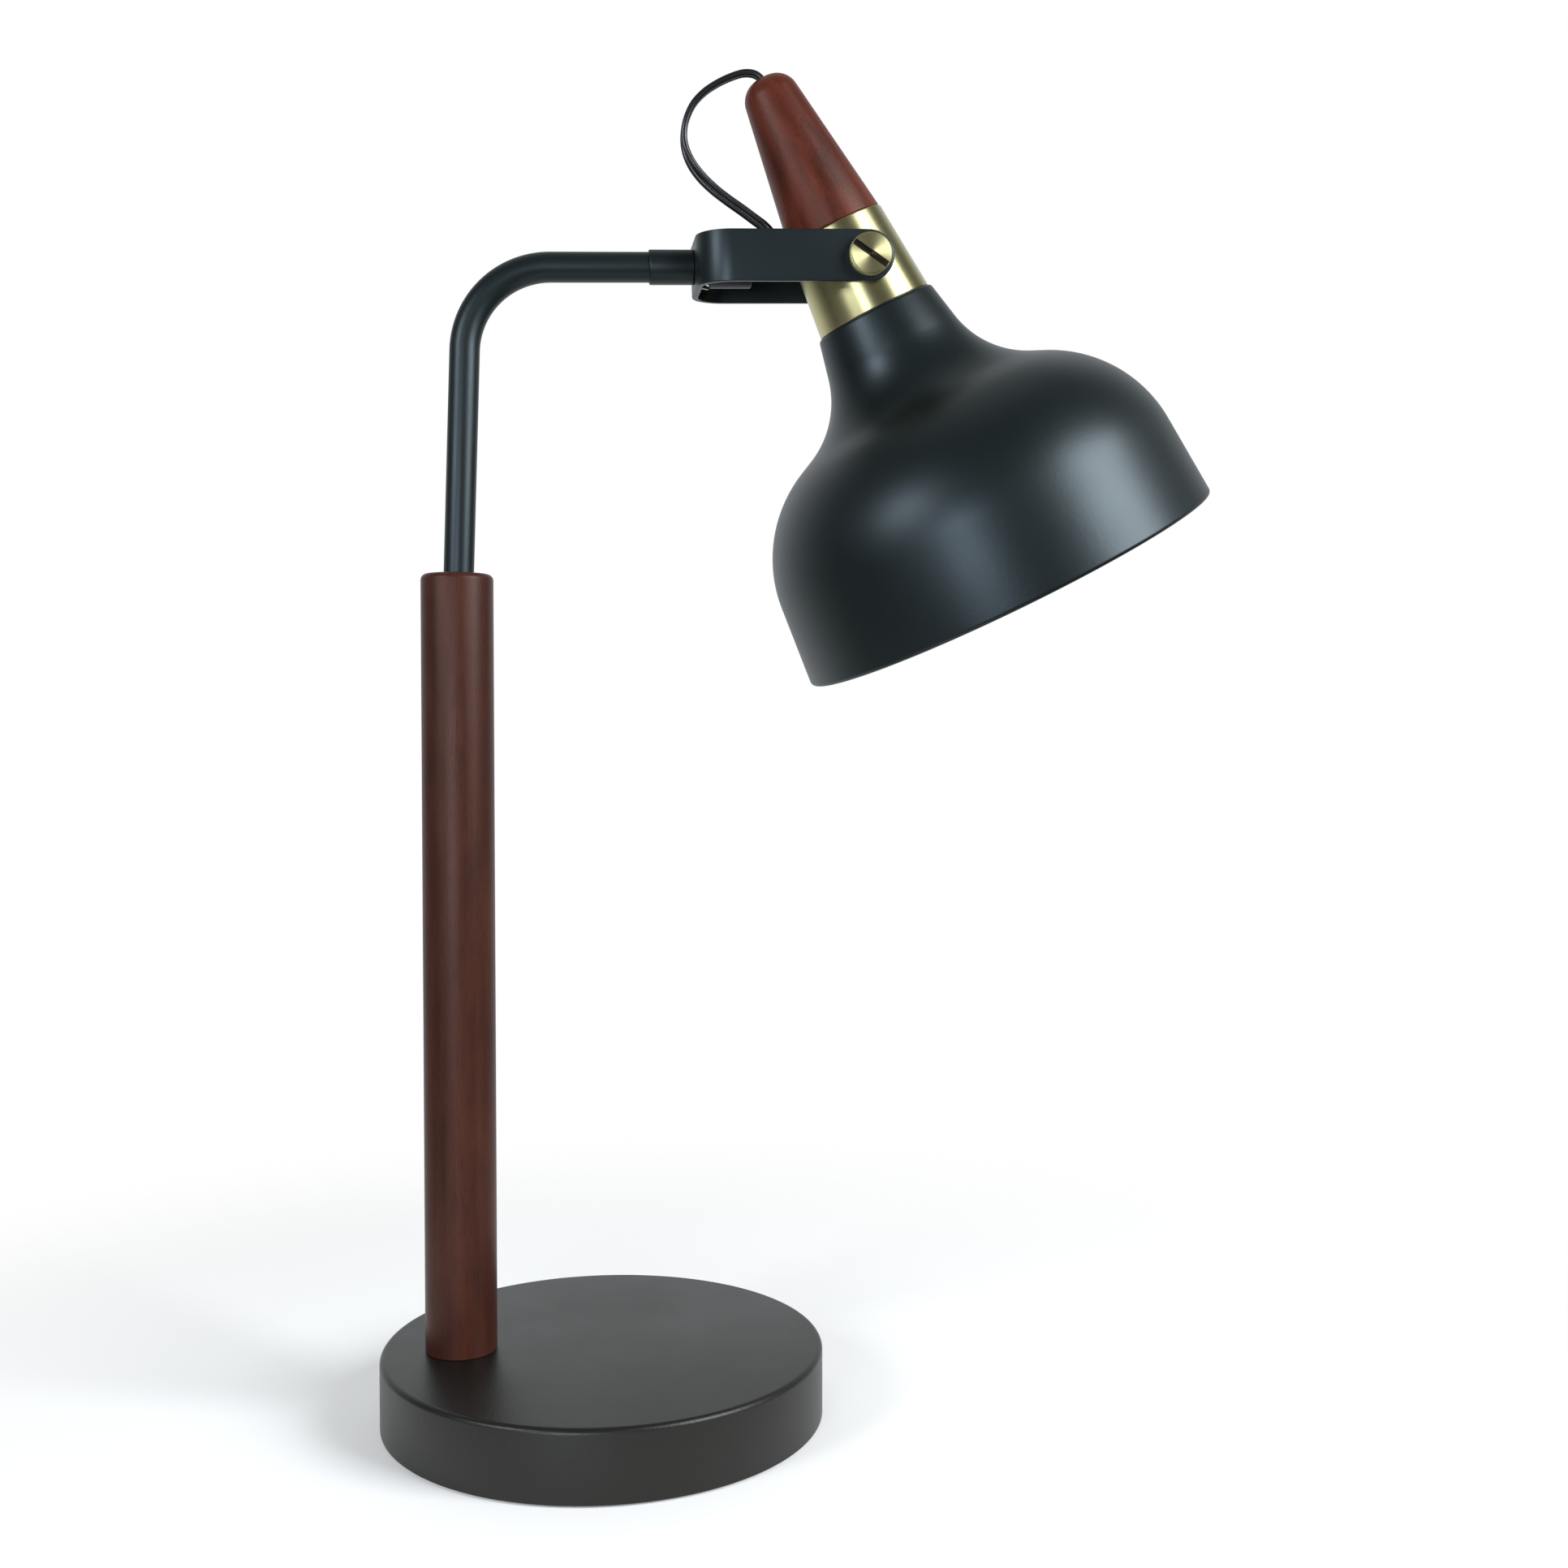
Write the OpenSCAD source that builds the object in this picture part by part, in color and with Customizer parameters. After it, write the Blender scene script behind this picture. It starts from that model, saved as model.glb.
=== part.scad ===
// Desk lamp: a round weighted foot, a wooden post, a bent steel arm, and a spun shade that
// tilts in a yoke of flat bar under a tapered wooden handle.
// The origin is the centre of the underside. +Z is up, and +X runs along the arm.

/* [Foot] */
// Diameter of the round foot
base_d = 178; // [150:1:220]
// Height of the foot, with its pad
base_h = 28.5; // [26:0.5:40]
// Radius of the cover's top edge
base_round = 3; // [2:0.5:5]
// Thickness of the pressed steel cover
base_wall = 1.2; // [0.8:0.1:1.6]
// Thickness of the iron weight
weight_h = 14; // [10:0.5:15]
// Gap between the weight and the wall of the cover
weight_gap = 2.5; // [1:0.5:8]
// Depth of the weight's pocket for the nut under the post
pocket_h = 7; // [5:0.5:8]
// Width of that pocket
pocket_d = 28; // [26:1:36]
// Thickness of the foam pad
pad_t = 2.2; // [1.9:0.1:4]
// Distance from the edge of the cover to the edge of the pad
pad_inset = 4; // [2:0.5:10]
// Height of the cover's edge above the table
edge_gap = 0.8; // [0.4:0.1:1.5]
// Thickness of the plate that closes the foot
plate_t = 1.2; // [0.8:0.1:2]
// Diameter of the circle that the plate's screws lie on
plate_screw_circle_d = 120; // [90:1:140]
// Diameter of the bosses that take the plate's screws
plate_boss_d = 10; // [8:0.5:14]
// Thread diameter of the plate's screws
plate_screw_d = 4; // [3:0.5:5]
// Length of the plate's screws under the head
plate_screw_len = 9; // [6:0.5:10]
// Direction of the cable inlet, in degrees round the back from the line of the arm
inlet_turn = 30; // [0:5:45]
// Height of the axis of the cable inlet above the table
inlet_z = 8.4; // [8.2:0.1:8.6]
// Bore of the bushing in the cable inlet
inlet_bore_d = 6.5; // [5:0.5:7]
// Diameter of that bushing where it passes the wall
inlet_d = 9; // [8.5:0.1:9.2]
// Diameter of the bushing's outer flange
inlet_flange_d = 13; // [11:0.5:14]
// Thickness of that flange
inlet_flange_t = 1.5; // [1:0.1:3]
// Length of the bushing inside the wall
inlet_len = 7; // [4:0.5:9]

/* [Post] */
// Distance of the post behind the centre of the foot
post_offset = 57; // [40:1:68]
// Diameter of the wooden post
post_d = 28.6; // [25:0.2:34]
// Length of the wooden post
post_h = 311.2; // [200:0.2:360]
// Radius of the post's top edge
post_round = 2.5; // [1:0.5:5]
// Depth of the socket for the arm in the top of the post
socket_depth = 22; // [16:1:40]
// Outer diameter of the threaded pipe through the post, and of its short twin in the arm
pipe_d = 8; // [7.6:0.1:8.4]
// Bore of that pipe
pipe_bore_d = 6; // [5.4:0.1:6.4]
// Bore of the post round the pipe
post_bore_d = 9; // [8.8:0.1:11]
// How far the pipe screws into the plug of the arm
pipe_grip = 12; // [8:0.5:13]
// Width across the flats of the nut under the weight
pipe_nut_w = 13; // [11:0.5:15]
// Thickness of that nut
pipe_nut_t = 5; // [3:0.5:5]
// Diameter of the washer on that nut
pipe_washer_d = 24; // [18:1:25]
// Thickness of that washer
pipe_washer_t = 1.5; // [1:0.1:2]

/* [Arm] */
// Diameter of the steel tube
tube_d = 12; // [11.6:0.1:12.6]
// Wall of the tube
tube_wall = 1; // [0.8:0.1:1.2]
// Bend radius on the centre line of the tube
tube_bend_r = 35; // [30:1:60]
// Lean of the tube's leg towards the head, in degrees
arm_lean = 1.8; // [0:0.1:4]
// Rise of the tube's arm towards the head, in degrees
arm_rise = 1.7; // [0:0.1:4]
// Distance from the axis of the post to the pivot of the head
arm_reach = 162; // [150:1:240]
// Height of the pivot above the table
pivot_z = 466; // [430:1:560]
// Length of the threaded plugs in both ends of the tube
plug_len = 14; // [13:0.5:20]
// Diameter of the sleeve at the end of the tube
sleeve_d = 13.8; // [13.4:0.1:16]
// Length of the sleeve
sleeve_len = 18; // [12:0.5:30]

/* [Yoke] */
// Height of the flat bar
bar_h = 20; // [18:0.5:26]
// Thickness of the flat bar
bar_t = 2.5; // [2:0.1:3]
// Clear width between the two arms of the yoke
yoke_gap = 47.5; // [46.8:0.1:52]
// Distance from the pivot back to the outer face of the yoke
yoke_depth = 67.4; // [66:0.2:80]
// Outer radius of the yoke's two bends
yoke_bend_r = 14; // [6:0.5:14]
// Turn of the yoke about the arm, in degrees
yoke_roll = 3.6; // [-8:0.2:8]
// Outer diameter of the toothed lock washer
tooth_washer_d = 17.2; // [16.5:0.1:19]
// Thickness of the washer from tooth tip to tooth tip
tooth_washer_h = 3.4; // [2.2:0.1:3.6]
// Thickness of the washer's sheet
tooth_washer_t = 0.9; // [0.6:0.1:1.2]
// Number of teeth
tooth_count = 12; // [8:1:12]
// Diameter of the cord grip
grip_d = 16.6; // [15:0.1:17]
// Length of the cord grip
grip_len = 17; // [15:0.5:24]
// Bore of the cord grip where the cord leaves it
grip_bore_d = 6; // [5.6:0.1:7]
// Thread diameter of the small screw that holds the cord
grip_screw_d = 4; // [3:0.5:4]

/* [Pivot] */
// How far the pivot lies in front of the axis of the head
pivot_ahead = 2.1; // [0:0.1:3]
// Thread diameter of the two pivot screws
pivot_screw_d = 6; // [5:0.5:6]
// Diameter of their knurled heads
pivot_head_d = 16.8; // [14:0.2:19]
// Thickness of their heads
pivot_head_h = 4; // [3:0.1:7]
// Depth of the knurl
knurl_depth = 0.35; // [0.2:0.05:0.5]
// Number of ridges in the knurl
knurl_count = 54; // [36:2:60]
// Width of the screwdriver slot
slot_w = 2.7; // [1.5:0.1:3]
// Depth of the slot
slot_depth = 1.8; // [1:0.1:2]
// Direction of the slot below level, in degrees
slot_angle = 35; // [0:5:90]
// Diameter of the friction washers
friction_washer_d = 16; // [12:0.5:17]
// Thickness of the friction washers
friction_washer_t = 1; // [0.8:0.1:1.2]

/* [Head] */
// Tilt of the head forward from square to the arm, in degrees
head_tilt = 25.5; // [10:0.5:40]
// Length of the brass collar
collar_h = 37; // [34:0.5:44]
// How far the collar reaches below the pivot
collar_low = 19.1; // [18:0.1:22]
// Diameter of the collar at its lower end
collar_bottom_d = 48.6; // [46:0.2:50]
// Diameter of the collar at its upper end
collar_top_d = 41.2; // [38:0.2:44]
// Wall of the collar
collar_wall = 2.4; // [1.8:0.1:3]
// Diameter of the collar's inner bosses, which take the pivot screws
pivot_boss_d = 16; // [12:0.5:17]
// Length of those bosses
pivot_boss_len = 9.5; // [6:0.5:10]
// Length of the wooden handle above the collar
handle_len = 65.2; // [50:0.2:90]
// Diameter of the handle at the collar
handle_d = 40.4; // [37:0.2:43]
// Taper of each side of the handle, in degrees
handle_taper = 8.8; // [2:0.2:10]
// Radius of the handle's tip
handle_round = 9; // [4:0.5:10]
// Bore of the handle for the cord
handle_bore_d = 6; // [5.6:0.1:8]
// Length of the handle's spigot in the collar
spigot_len = 3; // [2:0.5:6]
// Width of the bevels at the joints of handle, collar and shade
seam_bevel = 0.6; // [0.3:0.1:1]
// Outer diameter of the threaded pipe in the head
stem_d = 10; // [9:0.1:10.6]
// Bore of that pipe
stem_bore_d = 7.4; // [6:0.1:7.6]
// Diameter of the brass insert in the handle
insert_d = 14; // [13:0.5:18]
// Length of the insert
insert_len = 15; // [10:0.5:24]

/* [Shade] */
// Thickness of the shade's sheet
shade_wall = 1; // [0.7:0.1:1.4]
// Diameter of the shade's neck
neck_d = 51.2; // [50:0.2:54]
// Radius of the neck's top edge
neck_round = 1.6; // [1.4:0.1:2.4]
// Slope of the neck at its top, in degrees
neck_slope = 12.4; // [4:0.2:16]
// Length of the straight neck
neck_len = 14.6; // [4:0.2:24]
// Radius of the hollow curve under the neck
flare_r = 38.5; // [30:0.5:60]
// Steepest slope of the shade, in degrees
shoulder_slope = 65; // [50:0.5:72]
// Length of the straight stretch at that slope
shoulder_len = 5.9; // [1:0.1:14]
// Radius of the shade's dome
dome_r = 56.8; // [44:0.2:70]
// Slope of the skirt, in degrees
skirt_slope = 5.2; // [2:0.2:12]
// Length of the straight skirt
skirt_len = 33; // [20:0.5:50]
// Outer radius of the rolled rim
rim_r = 1.6; // [1.4:0.1:2.4]

/* [Lampholder] */
// Thickness of the nut that clamps the shade
clamp_nut_t = 4; // [3:0.5:5]
// Width across the flats of that nut
clamp_nut_w = 14; // [13:0.5:17]
// Length of the lampholder's cap
cap_h = 14; // [13:0.5:17]
// Length of the lampholder's skirt
skirt_h = 29; // [26:0.5:34]
// Diameter of the lampholder
holder_d = 38; // [36:0.5:41]
// Wall of the lampholder
holder_wall = 1.8; // [1.4:0.1:2.2]
// Thickness of the porcelain core
core_t = 5; // [4:0.5:6]
// Inner diameter of the brass screw shell
shell_bore_d = 27; // [26.8:0.1:28]
// Wall of the screw shell
shell_wall = 0.5; // [0.4:0.1:0.8]

/* [Bulb] */
// Diameter of the bulb
bulb_d = 55; // [45:1:60]
// Length of the bulb with its cap
bulb_len = 95; // [88:1:98]
// Diameter of the bulb's screw cap
bulb_cap_d = 26; // [25.6:0.1:26.4]
// Length of the screw cap with its contact
bulb_cap_len = 26; // [24:0.5:28]
// Wall of the screw cap
bulb_cap_wall = 0.6; // [0.4:0.1:1]
// Diameter of the bulb's neck at the screw cap
bulb_neck_d = 29; // [27:0.5:30]
// Thickness of the diffuser
diffuser_wall = 1.2; // [0.8:0.1:2]

/* [Cord] */
// Width of the flat twin cord
cord_w = 4.6; // [4:0.1:5.2]
// Thickness of the cord
cord_t = 2.6; // [2.2:0.1:3]

/* [Hidden] */
$fn = 72;

// Play between pieces that slide together once and then stay
fit = 0.05;
// Running play between pieces that turn on each other
play = 0.1;
// Overshoot of a cutting shape past the face that it opens
cut = 1;
// Bevel at the ends of small turned pieces
bevel = 0.5;
// Swelling of the tube's wall where it is bent
bend_swell = 0.02;
// Length by which a straight part of the tube reaches into its bend
bend_lap = 0.5;

base_r = base_d / 2;
base_inner_r = base_r - base_wall;
cover_top = base_h - base_wall;
weight_bottom = cover_top - weight_h;
plate_top = pad_t + plate_t;
post_x = -post_offset;
post_top = base_h + post_h;
pocket_top = weight_bottom + pocket_h;
pipe_nut_top = pocket_top - pipe_washer_t;
pipe_bottom = pipe_nut_top - pipe_nut_t - 1;
plug_bottom = post_top - socket_depth;
plate_screw_head_d = 1.8 * plate_screw_d;
plate_screw_head_t = 0.4 * plate_screw_d;
plate_screw_angles = [0, 120, 240];

// The leg of the tube starts on the axis of the post and leans, and its arm runs through the
// pivot and rises. Both lines meet at the corner that the bend rounds off.
pivot = [post_x + arm_reach, 0, pivot_z];
arm_start_z = pivot_z - pivot[0] * tan(arm_rise);
corner_x = (post_x + (arm_start_z - plug_bottom) * tan(arm_lean))
    / (1 - tan(arm_rise) * tan(arm_lean));
corner_z = arm_start_z + corner_x * tan(arm_rise);
bend_angle = 90 - arm_lean - arm_rise;
bend_reach = tube_bend_r * tan(bend_angle / 2);
leg_len = (corner_z - plug_bottom) / cos(arm_lean) - bend_reach;
arm_len = (pivot[0] - corner_x) / cos(arm_rise) - bend_reach - yoke_depth;
tube_bore_d = tube_d - 2 * tube_wall;

yoke_inner_x = bar_t - yoke_depth;
grip_x = yoke_inner_x + tooth_washer_h + 2 * play;
grip_end_x = grip_x + grip_len;
grip_thread_len = 8;

pivot_face_y = yoke_gap / 2 - play - friction_washer_t;
pivot_shank_len = bar_t + 2 * play + friction_washer_t + pivot_boss_len - bevel;

collar_top = collar_h - collar_low;
collar_bottom_r = collar_bottom_d / 2;
collar_top_r = collar_top_d / 2;
handle_top = collar_top + handle_len;
clamp_nut_z = -collar_low - shade_wall - clamp_nut_t;
stem_thread_len = 9;
cap_top = clamp_nut_z - 0.5;
skirt_top = cap_top - cap_h;
holder_mouth = skirt_top - skirt_h;
core_top = skirt_top + core_t;
contact_t = 0.6;
contact_h = 2;
bulb_top = skirt_top - contact_h - play;
bulb_cap_end = bulb_top - bulb_cap_len;
bulb_r = bulb_d / 2;
bulb_center = bulb_top - bulb_len + bulb_r;
diffuser_rim_z = 10;
diffuser_rim_r = sqrt(bulb_r * bulb_r - diffuser_rim_z * diffuser_rim_z);

// Radius of the foot for which the first points of the inner cord are chosen, and the step by
// which these points follow the inlet when the foot is made larger or smaller
lead_foot_r = 89;
inlet_step = (base_r - lead_foot_r) * [-cos(inlet_turn), sin(inlet_turn), 0];
// Route of the cord inside the foot, the post and the arm, from the inlet to the cord grip
LEAD_ROUTE = [inlet_step + [-68.4, 39.5, inlet_z], inlet_step + [-65.8, 34.5, 7.5],
    inlet_step + [-62.8, 26, 6.5], [-60, 15, 6.5], [-57.8, 5, 7], [-57.1, 1, 10], [-57, 0, 15],
    [-57, 0, 80], [-57, 0, 200], [-57, 0, 320], [-55.5, 0, 355], [-53, 0, 418], [-50, 0, 436],
    [-40, 0, 451], [-26, 0, 460], [-8, 0, 463], [15, 0, 463.7], [35, 0, 464.2], [60, 0, 464.8]];
// Route of the free cord, from the mouth of the cord grip to the tip of the handle
LOOP_ROUTE = [[60.5, 0, 464.9], [64, 0, 465.2], [68, 0, 467.7], [70.1, 0, 472],
    [69.6, 0, 477], [66.6, 0, 480.9], [62, -0.5, 484.1], [57, -1, 487.4], [51, -1.5, 491.2],
    [45.5, -2, 495.1], [40.5, -2.5, 499.6], [36.6, -3, 504.6], [34.3, -3, 510],
    [33.6, -3, 515.5], [34.5, -3.5, 521.5], [37.2, -4, 527.5], [41.4, -4.5, 532.2],
    [46.5, -4.8, 535.8], [52, -5, 538.6], [57.5, -5.2, 540.4], [62.3, -5.2, 540],
    [65.8, -5, 537], [67.8, -4.8, 533]];
// The cord stands on edge at the tip of the handle and turns flat between these two shares
// of its length
TWIST_FROM = 0.36;
TWIST_TO = 0.62;

BLACK_PAINT = "#1d1f22";
CAST_IRON = "#54565a";
FOAM = "#17181a";
WOOD = "#5a2c20";
BRASS = "#a89a62";
STEEL = "#b9bcc0";
ZINC = "#cfd2d4";
PLASTIC = "#202224";
PORCELAIN = "#e9e6df";
OPAL = "#f4f2ec";

module at_post(z) { translate([post_x, 0, z]) children(); }
// The frame of the cable inlet at the distance r from the centre: +Z runs inwards along it
module at_inlet(r) {
    rotate([0, 0, 180 - inlet_turn]) translate([r, 0, inlet_z]) rotate([0, -90, 0]) children();
}
// The frame of the leg: its origin is the foot of the tube, and +Z runs up the leg
module at_leg() { at_post(plug_bottom) rotate([0, arm_lean, 0]) children(); }
// The frame of the arm: its origin is the pivot, +X runs along the arm, +Y along the pivot
module at_arm() { translate(pivot) rotate([0, -arm_rise, 0]) rotate([yoke_roll, 0, 0]) children(); }
// The frame of the head: +Z runs up its axis to the tip of the handle
module at_head() { at_arm() rotate([0, -head_tilt, 0]) translate([-pivot_ahead, 0, 0]) children(); }
// Turns a shape drawn along +Z so that it runs along +X of the arm, from x
module along_arm(x) { at_arm() translate([x, 0, 0]) rotate([0, 90, 0]) children(); }
// Turns a shape drawn along +Z so that it points outwards at the pivot, on the near side for
// side -1 and on the far side for side 1, with its origin at the distance y
module at_pivot(side, y) { at_arm() translate([0, side * y, 0]) rotate([-side * 90, 0, 0]) children(); }

module ring(h, d, bore) {
    difference() {
        cylinder(h = h, d = d);
        translate([0, 0, -cut]) cylinder(h = h + 2 * cut, d = bore);
    }
}

module hex_nut(h, w, bore) {
    difference() {
        cylinder(h = h, d = w / cos(30), $fn = 6);
        translate([0, 0, -cut]) cylinder(h = h + 2 * cut, d = bore);
    }
}

// A disc with its top edge rounded
module rounded_disc(h, r, edge) {
    rotate_extrude() {
        square([r, h - edge]);
        square([r - edge, h]);
        translate([r - edge, h - edge]) intersection() {
            circle(edge);
            square(edge);
        }
    }
}

// A cylinder with both end edges bevelled
module bevelled_rod(h, d, b) {
    r = d / 2;
    rotate_extrude() polygon([[0, 0], [r - b, 0], [r, b], [r, h - b], [r - b, h], [0, h]]);
}

module base_shell() {
    color(BLACK_PAINT) difference() {
        translate([0, 0, edge_gap]) rounded_disc(base_h - edge_gap, base_r, base_round);
        translate([0, 0, edge_gap - cut])
            rounded_disc(cover_top - edge_gap + cut, base_inner_r, base_round - base_wall);
        at_post(cover_top - cut) cylinder(h = base_wall + 2 * cut, d = pipe_d + 2 * play);
        at_inlet(base_r + cut) cylinder(h = base_wall + 2 * cut, d = inlet_d + 2 * fit);
    }
}

module base_weight() {
    color(CAST_IRON) difference() {
        union() {
            translate([0, 0, weight_bottom])
                cylinder(h = weight_h, r = base_inner_r - weight_gap);
            for (a = plate_screw_angles) rotate([0, 0, a])
                translate([plate_screw_circle_d / 2, 0, plate_top])
                    cylinder(h = weight_bottom - plate_top + cut, d = plate_boss_d);
        }
        at_post(weight_bottom - cut) cylinder(h = weight_h + 2 * cut, d = pipe_d + 2 * play);
        at_post(weight_bottom - cut) cylinder(h = pocket_h + cut, d = pocket_d);
        for (a = plate_screw_angles) rotate([0, 0, a])
            translate([plate_screw_circle_d / 2, 0, plate_top - cut])
                cylinder(h = plate_screw_len + cut, d = plate_screw_d + 2 * fit);
    }
}

module base_plate() {
    color(STEEL) translate([0, 0, pad_t]) difference() {
        cylinder(h = plate_t, r = base_inner_r - 2 * play);
        for (a = plate_screw_angles) rotate([0, 0, a])
            translate([plate_screw_circle_d / 2, 0, -cut])
                cylinder(h = plate_t + 2 * cut, d = plate_screw_d + 2 * fit);
    }
}

module plate_screws() {
    color(ZINC) for (a = plate_screw_angles) rotate([0, 0, a])
        translate([plate_screw_circle_d / 2, 0, 0]) difference() {
            union() {
                translate([0, 0, pad_t - plate_screw_head_t])
                    cylinder(h = plate_screw_head_t, d = plate_screw_head_d);
                translate([0, 0, pad_t]) cylinder(h = plate_screw_len, d = plate_screw_d);
            }
            for (turn = [0, 90]) translate([0, 0, pad_t - plate_screw_head_t])
                rotate([0, 0, turn]) cube([0.6 * plate_screw_head_d, 0.9, 1.6], center = true);
        }
}

module base_pad() {
    color(FOAM) difference() {
        cylinder(h = pad_t, r = base_r - pad_inset);
        for (a = plate_screw_angles) rotate([0, 0, a])
            translate([plate_screw_circle_d / 2, 0, -cut])
                cylinder(h = pad_t + 2 * cut, d = plate_screw_head_d + 1);
    }
}

module inlet_bushing() {
    all_len = inlet_flange_t + base_wall + inlet_len;
    color(PLASTIC) at_inlet(base_r + inlet_flange_t) difference() {
        union() {
            cylinder(h = inlet_flange_t, d = inlet_flange_d);
            cylinder(h = all_len, d = inlet_d);
        }
        translate([0, 0, -cut]) cylinder(h = all_len + 2 * cut, d = inlet_bore_d);
    }
}

module wood_post() {
    color(WOOD) difference() {
        at_post(base_h) rounded_disc(post_h, post_d / 2, post_round);
        at_post(base_h - cut) cylinder(h = post_h, d = post_bore_d);
        at_leg() cylinder(h = socket_depth + post_d, d = tube_d + 2 * fit);
    }
}

module post_pipe() {
    color(STEEL) at_post(pipe_bottom)
        ring(plug_bottom + pipe_grip - pipe_bottom, pipe_d, pipe_bore_d);
}

module pipe_nut() {
    color(ZINC) at_post(pipe_nut_top - pipe_nut_t)
        hex_nut(pipe_nut_t, pipe_nut_w, pipe_d + 2 * fit);
}

module pipe_washer() {
    color(ZINC) at_post(pipe_nut_top) ring(pipe_washer_t, pipe_washer_d, pipe_d + 2 * play);
}

// The plug leans with the tube, and its thread stands upright with the pipe in the post
module leg_plug() {
    color(STEEL) difference() {
        at_leg() cylinder(h = plug_len, d = tube_bore_d - 2 * fit);
        at_post(plug_bottom - cut) cylinder(h = plug_len + 2 * cut, d = pipe_d + 2 * fit);
    }
}

// The line of the tube: the leg, the bend and the arm, with its two ends run on by extra.
// The straight parts reach a little way into the bend, which is that much thicker.
module tube_line(d, extra) {
    at_leg() {
        translate([0, 0, -extra]) cylinder(h = leg_len + extra + bend_lap, d = d);
        translate([tube_bend_r, 0, leg_len]) {
            rotate([90, 0, 0]) rotate([0, 0, 180 - bend_angle])
                rotate_extrude(angle = bend_angle) translate([tube_bend_r, 0])
                    circle(d = d + 2 * bend_swell);
            rotate([0, bend_angle, 0]) translate([-tube_bend_r, 0, -bend_lap])
                cylinder(h = arm_len + extra + bend_lap, d = d);
        }
    }
}

module arm_tube() {
    color(BLACK_PAINT) difference() {
        tube_line(tube_d, 0);
        tube_line(tube_bore_d, cut);
    }
}

module arm_plug() {
    color(STEEL) along_arm(-yoke_depth - plug_len)
        ring(plug_len, tube_bore_d - 2 * fit, pipe_d + 2 * fit);
}

module arm_sleeve() {
    color(BLACK_PAINT) along_arm(-yoke_depth - sleeve_len) difference() {
        bevelled_rod(sleeve_len, sleeve_d, bevel);
        translate([0, 0, -cut]) cylinder(h = sleeve_len + 2 * cut, d = tube_d + 2 * fit);
    }
}

// One bend of the yoke, drawn about its own centre
module yoke_bend() {
    translate([0, 0, -bar_h / 2]) rotate([0, 0, 90]) rotate_extrude(angle = 90)
        translate([yoke_bend_r - bar_t, 0]) square([bar_t, bar_h]);
}

// A flat bar bent to a U, with round ends and a hole for each pivot screw
module yoke() {
    outer_y = yoke_gap / 2 + bar_t;
    bend_x = yoke_bend_r - yoke_depth;
    bend_y = outer_y - yoke_bend_r;
    color(BLACK_PAINT) at_arm() difference() {
        union() {
            translate([-yoke_depth, -bend_y, -bar_h / 2]) cube([bar_t, 2 * bend_y, bar_h]);
            for (side = [0, 1]) mirror([0, side, 0]) {
                translate([bend_x, bend_y, 0]) yoke_bend();
                translate([bend_x, outer_y - bar_t, -bar_h / 2]) cube([-bend_x, bar_t, bar_h]);
                translate([0, outer_y, 0]) rotate([90, 0, 0]) cylinder(h = bar_t, d = bar_h);
            }
        }
        rotate([90, 0, 0])
            cylinder(h = 2 * outer_y + 2 * cut, d = pivot_screw_d + 4 * play, center = true);
        translate([-yoke_depth - cut, 0, 0]) rotate([0, 90, 0])
            cylinder(h = bar_t + 2 * cut, d = pipe_d + 4 * play);
    }
}

module yoke_pipe() {
    back = plug_len - 2;
    color(STEEL) along_arm(-yoke_depth - back)
        ring(back + grip_x + yoke_depth + grip_thread_len - bevel, pipe_d, pipe_bore_d);
}

// A ring with teeth that are twisted out of its plane on both sides
module tooth_washer() {
    ring_d = tooth_washer_d - 4;
    tooth_l = (tooth_washer_d - ring_d) / 2 + 0.6;
    twist = 50;
    tooth_w = (tooth_washer_h - tooth_washer_t * cos(twist)) / sin(twist);
    color(ZINC) along_arm(yoke_inner_x + play + tooth_washer_h / 2) difference() {
        union() {
            translate([0, 0, -tooth_washer_t / 2]) cylinder(h = tooth_washer_t, d = ring_d);
            for (i = [0:tooth_count - 1]) rotate([0, 0, i * 360 / tooth_count])
                translate([tooth_washer_d / 2 - tooth_l, 0, 0]) rotate([twist, 0, 0])
                    translate([0, -tooth_w / 2, -tooth_washer_t / 2])
                        cube([tooth_l, tooth_w, tooth_washer_t]);
        }
        cylinder(h = tooth_washer_h, d = pipe_d + 4 * play, center = true);
    }
}

module cord_grip() {
    screw_x = grip_len - 5;
    color(PLASTIC) along_arm(grip_x) difference() {
        bevelled_rod(grip_len, grip_d, 2 * bevel);
        translate([0, 0, -cut]) cylinder(h = grip_thread_len + cut, d = pipe_d + 2 * fit);
        cylinder(h = grip_len + cut, d = grip_bore_d);
        translate([0, 0, screw_x]) rotate([0, -90, 0])
            cylinder(h = grip_d, d = grip_screw_d + 2 * fit);
    }
}

module grip_screw() {
    screw_x = grip_len - 5;
    screw_in = cord_w / 2 + fit;
    slot = 0.8;
    color(PLASTIC) along_arm(grip_x) translate([0, 0, screw_x]) rotate([0, -90, 0])
        difference() {
            translate([0, 0, screw_in]) cylinder(h = grip_d / 2 - screw_in, d = grip_screw_d);
            translate([-grip_screw_d, -slot / 2, grip_d / 2 - 1])
                cube([2 * grip_screw_d, slot, 1 + cut]);
        }
}

// Flat twin cord: the outline of its section, two round cores with a groove between them
function cord_section() = let (r = cord_t / 2, c = cord_w / 2 - r) [
    for (a = [-120:60:120]) [c + r * cos(a), r * sin(a)],
    [0, 0.7 * r],
    for (a = [60:60:300]) [-c + r * cos(a), r * sin(a)],
    [0, -0.7 * r]];

function unit(v) = v / norm(v);

// A point on the smooth curve through p, at the share t of the stretch after point i
function curve_point(p, i, t) = let (
    a = p[max(i - 1, 0)], b = p[i], c = p[i + 1], d = p[min(i + 2, len(p) - 1)])
    0.5 * (2 * b + (c - a) * t + (2 * a - 5 * b + 4 * c - d) * t * t
        + (3 * b - a - 3 * c + d) * t * t * t);

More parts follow.
